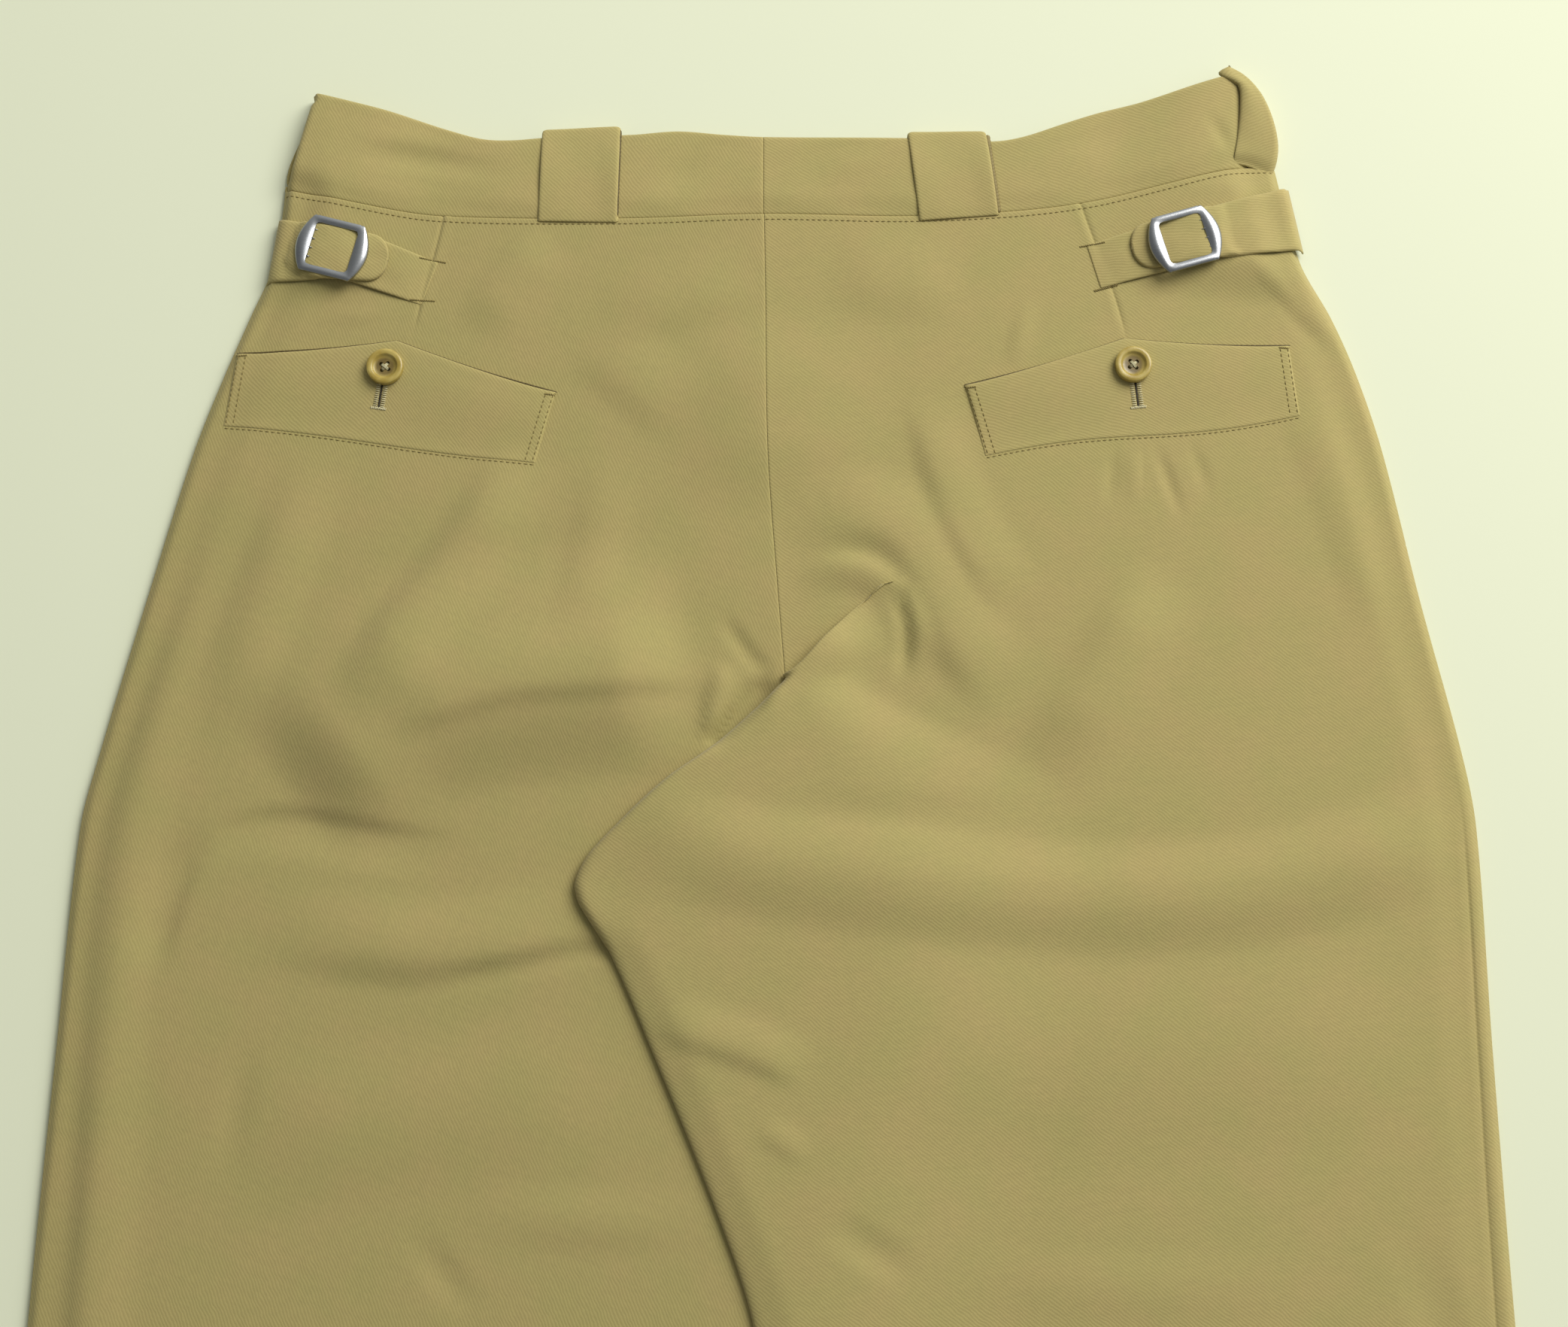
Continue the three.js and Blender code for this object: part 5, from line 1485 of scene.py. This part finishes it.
def mix_colour(nodes, links, factor, a, b):
    node = nodes.new("ShaderNodeMix")
    node.data_type = "RGBA"
    for socket, v in ((node.inputs["Factor"], factor), (node.inputs[6], a), (node.inputs[7], b)):
        if isinstance(v, (int, float)):
            socket.default_value = v
        elif isinstance(v, tuple):
            socket.default_value = (*v, 1.0)
        else:
            links.new(v, socket)
    return node.outputs[2]


def ramp(nodes, links, value, low, high, to_low=0.0, to_high=1.0):
    node = nodes.new("ShaderNodeMapRange")
    node.inputs["From Min"].default_value = low
    node.inputs["From Max"].default_value = high
    node.inputs["To Min"].default_value = to_low
    node.inputs["To Max"].default_value = to_high
    links.new(value, node.inputs["Value"])
    return node.outputs[0]


def attribute(nodes, name):
    node = nodes.new("ShaderNodeAttribute")
    node.attribute_name = name
    return node.outputs["Fac"]


def add_bump(nodes, links, shader, height, strength, distance):
    bump = nodes.new("ShaderNodeBump")
    bump.inputs["Strength"].default_value = strength
    bump.inputs["Distance"].default_value = distance
    links.new(height, bump.inputs["Height"])
    links.new(bump.outputs[0], shader.inputs["Normal"])


def set_inputs(shader, **settings):
    for name, value in settings.items():
        shader.inputs[name.replace("_", " ")].default_value = value


def pattern_on_object(nodes, links, group, size):
    """A pattern group that follows the piece's own place."""
    where = nodes.new("ShaderNodeTexCoord")
    pattern = placed(nodes, group)
    pattern.inputs["Size"].default_value = size
    links.new(where.outputs["Object"], pattern.inputs["Vector"])
    return pattern


def twill_material():
    mat, nodes, links, shader = material("cotton twill")
    maths = partial(math_node, nodes, links)
    grain = nodes.new("ShaderNodeUVMap")
    grain.uv_map = "grain"
    twill = placed(nodes, TWILL)
    dye = placed(nodes, MOTTLE)
    links.new(grain.outputs[0], twill.inputs["Vector"])
    links.new(grain.outputs[0], dye.inputs["Vector"])
    dye.inputs["Size"].default_value = 0.028
    twill.inputs["Pitch"].default_value = 0.0012
    main, groove_shadow_colour = srgb(177, 163, 106), srgb(164, 150, 95)
    green, warm = srgb(168, 160, 98), srgb(182, 160, 106)
    # The grooves between the wales are painted darker: painted shade in them
    groove_shade = ramp(nodes, links, twill.outputs["Shade"], 0.0, 0.75)
    colour = mix_colour(nodes, links, groove_shade, groove_shadow_colour, main)
    slow = ramp(nodes, links, dye.outputs["Slow"], 0.35, 0.65)
    cast = mix_colour(nodes, links, slow, green, warm)
    colour = mix_colour(nodes, links, 0.3, colour, cast)
    fine = ramp(nodes, links, dye.outputs["Fine"], 0.3, 0.7, -0.5, 0.5)
    slub = ramp(nodes, links, dye.outputs["Slub"], 0.4, 0.75, 0.0, 1.0)
    # Worn edges are paler, and each piece has its own tone; the left back's lower tone and the right back's
    # higher one are painted light falling from the right
    worn = maths("MULTIPLY", attribute(nodes, "edge"), 0.35)
    tone_and_painted_light = maths("MULTIPLY", attribute(nodes, "tone_and_painted_light"), 0.14)
    value = maths("MULTIPLY_ADD", fine, 0.05, 1.0)
    value = maths("MULTIPLY_ADD", slub, -0.03, value)
    value = maths("MULTIPLY_ADD", worn, 0.14, value)
    value = maths("ADD", tone_and_painted_light, value)
    hsv = nodes.new("ShaderNodeHueSaturation")
    links.new(value, hsv.inputs["Value"])
    links.new(colour, hsv.inputs["Color"])
    links.new(hsv.outputs[0], shader.inputs["Base Color"])
    rough = ramp(nodes, links, dye.outputs["Fine"], 0.2, 0.8, 0.8, 0.92)
    links.new(rough, shader.inputs["Roughness"])
    set_inputs(shader, Specular_IOR_Level=0.22, Sheen_Weight=0.18, Sheen_Roughness=0.5)
    height = maths("MULTIPLY_ADD", dye.outputs["Slub"], 0.5, twill.outputs["Height"])
    add_bump(nodes, links, shader, height, 0.4, 0.00011)
    return mat


def thread_material(name, light, dark):
    mat, nodes, links, shader = material(name)
    dye = pattern_on_object(nodes, links, MOTTLE, 0.004)
    colour = mix_colour(nodes, links, ramp(nodes, links, dye.outputs["Fine"], 0.35, 0.65), dark, light)
    links.new(colour, shader.inputs["Base Color"])
    links.new(ramp(nodes, links, dye.outputs["Slow"], 0.3, 0.7, 0.55, 0.72), shader.inputs["Roughness"])
    set_inputs(shader, Specular_IOR_Level=0.35)
    add_bump(nodes, links, shader, dye.outputs["Fine"], 0.5, 0.0001)
    return mat


def steel_material():
    mat, nodes, links, shader = material("polished nickel steel")
    marks = pattern_on_object(nodes, links, SCRATCH, 0.02)
    colour = mix_colour(nodes, links, ramp(nodes, links, marks.outputs["Smudge"], 0.35, 0.7),
                        (0.37, 0.38, 0.4), (0.44, 0.45, 0.465))
    links.new(colour, shader.inputs["Base Color"])
    set_inputs(shader, Metallic=1.0)
    rough = ramp(nodes, links, marks.outputs["Marks"], 0.3, 0.75, 0.26, 0.34)
    links.new(rough, shader.inputs["Roughness"])
    add_bump(nodes, links, shader, marks.outputs["Marks"], 0.06, 0.00003)
    return mat


def resin_material():
    mat, nodes, links, shader = material("khaki resin")
    marks = pattern_on_object(nodes, links, SCRATCH, 0.005)
    swirl = ramp(nodes, links, marks.outputs["Smudge"], 0.35, 0.65)
    rim = mix_colour(nodes, links, swirl, srgb(164, 140, 60), srgb(188, 168, 92))
    inner = mix_colour(nodes, links, swirl, srgb(102, 84, 38), srgb(126, 106, 54))
    reach = ramp(nodes, links, attribute(nodes, "across"), 0.42, 0.62)
    links.new(mix_colour(nodes, links, reach, inner, rim), shader.inputs["Base Color"])
    links.new(ramp(nodes, links, marks.outputs["Marks"], 0.3, 0.8, 0.3, 0.44), shader.inputs["Roughness"])
    set_inputs(shader, Coat_Weight=0.2, Coat_Roughness=0.2, Subsurface_Weight=0.08,
               Subsurface_Radius=(0.002, 0.0016, 0.0006))
    add_bump(nodes, links, shader, marks.outputs["Marks"], 0.1, 0.00006)
    return mat


# The camera, at the photograph's viewing angle and framing
CAMERA_AT = (0.00469, 0.10913, 0.86175)
CAMERA_TILT = math.radians(11.3)
FOCAL_LENGTH, SENSOR_WIDTH = 50.07, 36.0
camera_data = bpy.data.cameras.new("camera")
camera_data.sensor_width = SENSOR_WIDTH
camera_data.lens = FOCAL_LENGTH
camera_data.clip_start = 0.01
camera = bpy.data.objects.new("camera", camera_data)
camera.location = CAMERA_AT
camera.rotation_euler = (CAMERA_TILT, 0, 0)
bpy.context.scene.collection.objects.link(camera)
bpy.context.scene.camera = camera
bpy.context.scene.view_settings.view_transform = "Standard"

def each_side(build):
    return {side: build(side) for side in SIDES}


# Cloth
backs = {"left": build_back_left(), "right": build_back_right()}
fronts = each_side(build_front)
bands = each_side(build_back_band)
front_bands = {"left": build_front_band_left(), "right": build_front_band_right()}
welts, loops, tabs, straps = [each_side(build) for build in (build_welt, build_loop, build_tab, build_strap)]

# Hardware, and the small pieces round it
buckles, buttons = each_side(build_buckle), each_side(build_button)
threads, holes, slit_shadows, mouth_shadows, loop_insides = [each_side(build) for build in (
    build_button_thread, build_buttonhole, build_slit_shadow, build_mouth_shadow, build_loop_inside)]

# Stitching
def hem_stitches(side, names, from_below=False):
    ends = sorted(float(edge(side, HEM_STITCHES_Y)) for edge in (side_x, inner_x))
    path = [(ends[0] + 3, HEM_STITCHES_Y), (ends[1] - 3, HEM_STITCHES_Y)]
    return row_of_stitches(path, names, pitch=3.4, from_below=from_below)


def waist_stitches(xs, names, from_below=False):
    return row_of_stitches(np.stack([xs, waist_y(xs) - WAIST_STITCHES_DOWN], axis=-1), names,
                           from_below=from_below)


def pocket_stitches(side):
    """Rows along the foot and both ends of a back pocket, and the bar tacks at its upper corners."""
    welt = WELTS[side]
    panel = "back_%s_cloth" % side
    low, high, top_low, top_high = (np.array(welt[k], float) for k in ("low", "high", "top_low", "top_high"))
    us = np.linspace(0, 1, 40)[:, None]
    foot = low + (high - low) * us + (0, 1) * (welt["sag"] * np.sin(2 * np.pi * us) - 0.9)
    both = [panel, "welt_" + side]
    rows, tacks = row_of_stitches(foot, [panel]), []
    for top, bottom, inward in ((top_low, low, 1), (top_high, high, -1)):
        for inset in (0.9, 4.0):
            ends = [top + (inward * inset, -0.8), bottom + (inward * inset, 0.8)]
            rows += row_of_stitches(ends, both, pitch=2.2)
        tacks += bar_tack(top + (inward * 0.6, -1.3), top + (inward * 4.2, -1.0), both, width=0.9)
    return rows, tacks


def front_stitches(side):
    """Rows beside a front pocket's opening with its bar tack, along the hem and under the waistband."""
    sign = -1 if side == "left" else 1
    names = ["front_%s_cloth" % side]
    ys = np.linspace(4, -150, 40)
    rows = []
    for inset in (2.0, 7.0):
        places = np.stack([sign * (pocket_x(ys) - inset), ys], axis=-1)
        rows += row_of_stitches(places, names, pitch=2.6, from_below=True)
    rows += bar_tack((sign * 166, -4), (sign * 158, -4), names, from_below=True)
    rows += hem_stitches(side, names, from_below=True)
    return rows + waist_stitches(sign * np.linspace(1, 198, 80), names, from_below=True)


# Ends of the bar tacks at the adjusters' tabs, and their width
TAB_TACKS = {
    "left": [((-142.5, -19.8), (-132, -21.6), 0.9), ((-146.0, -38.0), (-136, -38.4), 0.9)],
    "right": [((132.0, -14.6), (142, -12.9), 0.9), ((137.5, -34.0), (147, -31.4), 1.2)],
}
FLY = [(-38, -2), (-38, -60), (-37, -120), (-28, -158), (1, -176)]
waist_rows, pocket_rows, tack_rows, hem_rows, front_rows = [], [], [], [], []
for side, low, high in (("left", -203, -0.5), ("right", 0.5, 214)):
    waist_rows += waist_stitches(np.linspace(low, high, 90), ["back_%s_cloth" % side])
for side in SIDES:
    rows, tacks = pocket_stitches(side)
    pocket_rows += rows
    tack_rows += tacks
for side in SIDES:
    for a, b, width in TAB_TACKS[side]:
        tack_rows += bar_tack(a, b, ["back_%s_cloth" % side, "tab_" + side], width=width)
    hem_rows += hem_stitches(side, ["back_%s_cloth" % side])
    front_rows += front_stitches(side)
front_rows += row_of_stitches(smooth_path(FLY, 60), ["front_left_cloth"], pitch=2.6, from_below=True)
STITCH_HEIGHT = 0.34
stitch_sets = [stitched(name, rows, width, STITCH_HEIGHT) for name, rows, width in (
    ("stitches_waist", waist_rows, 0.5), ("stitches_pockets", pocket_rows, 0.45),
    ("bar_tacks", tack_rows, 0.4), ("stitches_hems", hem_rows, 0.5), ("stitches_fronts", front_rows, 0.5))]

# Finishes
twill = twill_material()
thread = thread_material("khaki thread", srgb(150, 134, 80), srgb(120, 105, 58))
pale_thread = thread_material("pale khaki thread", srgb(226, 218, 178), srgb(178, 168, 126))
# Painted shade: the dark colour of the pocket mouths' shadow lines and of the left loop's inner layer
dark_painted_shade = thread_material("shaded pocket mouth", srgb(104, 90, 52), srgb(84, 72, 40))
# Painted shade: the lighter shaded inner layer of the right loop
loop_lining_painted_shade = thread_material("shaded loop lining", srgb(148, 132, 84), srgb(130, 116, 70))
cream_thread = thread_material("cream thread", srgb(206, 200, 164), srgb(176, 168, 128))
# Painted shadow: the dark inside of the buttonhole slits
slit_painted_shadow = thread_material("shadowed slit", srgb(58, 50, 32), srgb(44, 38, 24))
steel, resin = steel_material(), resin_material()


def dress(obj, mat, nodes=()):
    obj.data.materials.clear()
    obj.data.materials.append(mat)
    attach(obj, "root")
    if nodes:
        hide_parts(*nodes)


# Piece, the node that it stands for, flat width and length in metres, what it rests on
CLOTH_PIECES = [
    (backs["left"], "back_left", (0.36, 1.02), ["front_left"]),
    (backs["right"], "back_right", (0.40, 1.03), ["front_right", "back_left"]),
    (fronts["left"], "front_left", (0.36, 1.02), []),
    (fronts["right"], "front_right", (0.40, 1.03), ["back_left"]),
    (bands["left"], "waistband_back_left", (0.06, 0.21), ["band_front_left"]),
    (bands["right"], "waistband_back_right", (0.06, 0.22), ["band_front_right"]),
    (front_bands["left"], "waistband_front_left", (0.06, 0.22), []),
    (front_bands["right"], "waistband_front_right", (0.06, 0.26), ["band_back_right"]),
    (welts["left"], "pocket_welt_left", (0.04, 0.14), ["back_left_cloth"]),
    (welts["right"], "pocket_welt_right", (0.04, 0.14), ["back_right_cloth"]),
    (loops["left"], "belt_loop_left", (0.035, 0.06), ["band_back_left"]),
    (loops["right"], "belt_loop_right", (0.035, 0.06), ["band_back_right"]),
    (tabs["left"], "adjuster_tab_left", (0.025, 0.06), ["back_left_cloth"]),
    (tabs["right"], "adjuster_tab_right", (0.025, 0.06), ["back_right_cloth"]),
    (straps["left"], "adjuster_strap_left", (0.032, 0.055), ["tab_left", "back_left_cloth"]),
    (straps["right"], "adjuster_strap_right", (0.032, 0.08), ["tab_right", "back_right_cloth"]),
]
for piece, node, flat, rests in CLOTH_PIECES:
    dress(piece, twill, [node])
for side in SIDES:
    dress(buckles[side], steel, ["buckle_" + side])
    dress(buttons[side], resin, ["button_" + side])
    # The loops' inner layers are dressed in painted shade, darker on the left
    inside = dark_painted_shade if side == "left" else loop_lining_painted_shade
    for pieces, finish in ((threads, cream_thread), (holes, pale_thread), (slit_shadows, slit_painted_shadow),
                           (mouth_shadows, dark_painted_shade), (loop_insides, inside)):
        dress(pieces[side], finish)
for obj in stitch_sets:
    dress(obj, thread)

# Floor and light
FLOOR_SIZE, FLOOR_BELOW = 8, 0.0004
floor_mat, nodes, links, shader = material("plain floor")
shader.inputs["Base Color"].default_value = (*srgb(232, 236, 208), 1)
shader.inputs["Roughness"].default_value = 0.9
see_through = nodes.new("ShaderNodeBsdfTransparent")
facing = nodes.new("ShaderNodeNewGeometry")
choose = nodes.new("ShaderNodeMixShader")
links.new(facing.outputs["Backfacing"], choose.inputs[0])
links.new(shader.outputs[0], choose.inputs[1])
links.new(see_through.outputs[0], choose.inputs[2])
links.new(choose.outputs[0], nodes["Material Output"].inputs["Surface"])
clear_selection()
bpy.ops.mesh.primitive_plane_add(size=FLOOR_SIZE, location=(0, 0, -FLOOR_BELOW))
floor = bpy.context.object
floor.name = "floor"
floor.data.materials.append(floor_mat)


# One large soft light beyond the waist, to the right
KEY_AT, KEY_TOWARDS = Vector((1.5, 1.65, 1.7)), Vector((0, 0.1, 0))
KEY_SIZE, KEY_POWER, KEY_COLOUR = 1.9, 70, (1.0, 0.985, 0.95)
key_data = bpy.data.lights.new("key", "AREA")
key_data.shape = "DISK"
key_data.size, key_data.energy, key_data.color = KEY_SIZE, KEY_POWER, KEY_COLOUR
key = bpy.data.objects.new("key", key_data)
key.location = KEY_AT
key.rotation_euler = (KEY_TOWARDS - KEY_AT).to_track_quat("-Z", "Y").to_euler()
bpy.context.scene.collection.objects.link(key)

# The room's light is stronger on the window's side
world = bpy.data.worlds.new("soft studio")
world.use_nodes = True
w_nodes, w_links = world.node_tree.nodes, world.node_tree.links
w_dir = w_nodes.new("ShaderNodeTexCoord")
w_split = w_nodes.new("ShaderNodeSeparateXYZ")
w_links.new(w_dir.outputs["Generated"], w_split.inputs[0])
towards_window = math_node(w_nodes, w_links, "MULTIPLY_ADD", w_split.outputs[0], 0.8, w_split.outputs[1])
w_range = ramp(w_nodes, w_links, towards_window, -0.1, 1.25, 0.2, 0.85)
background = w_nodes["Background"]
w_links.new(w_range, background.inputs["Strength"])
background.inputs["Color"].default_value = (0.97, 1.0, 0.97, 1)
bpy.context.scene.world = world
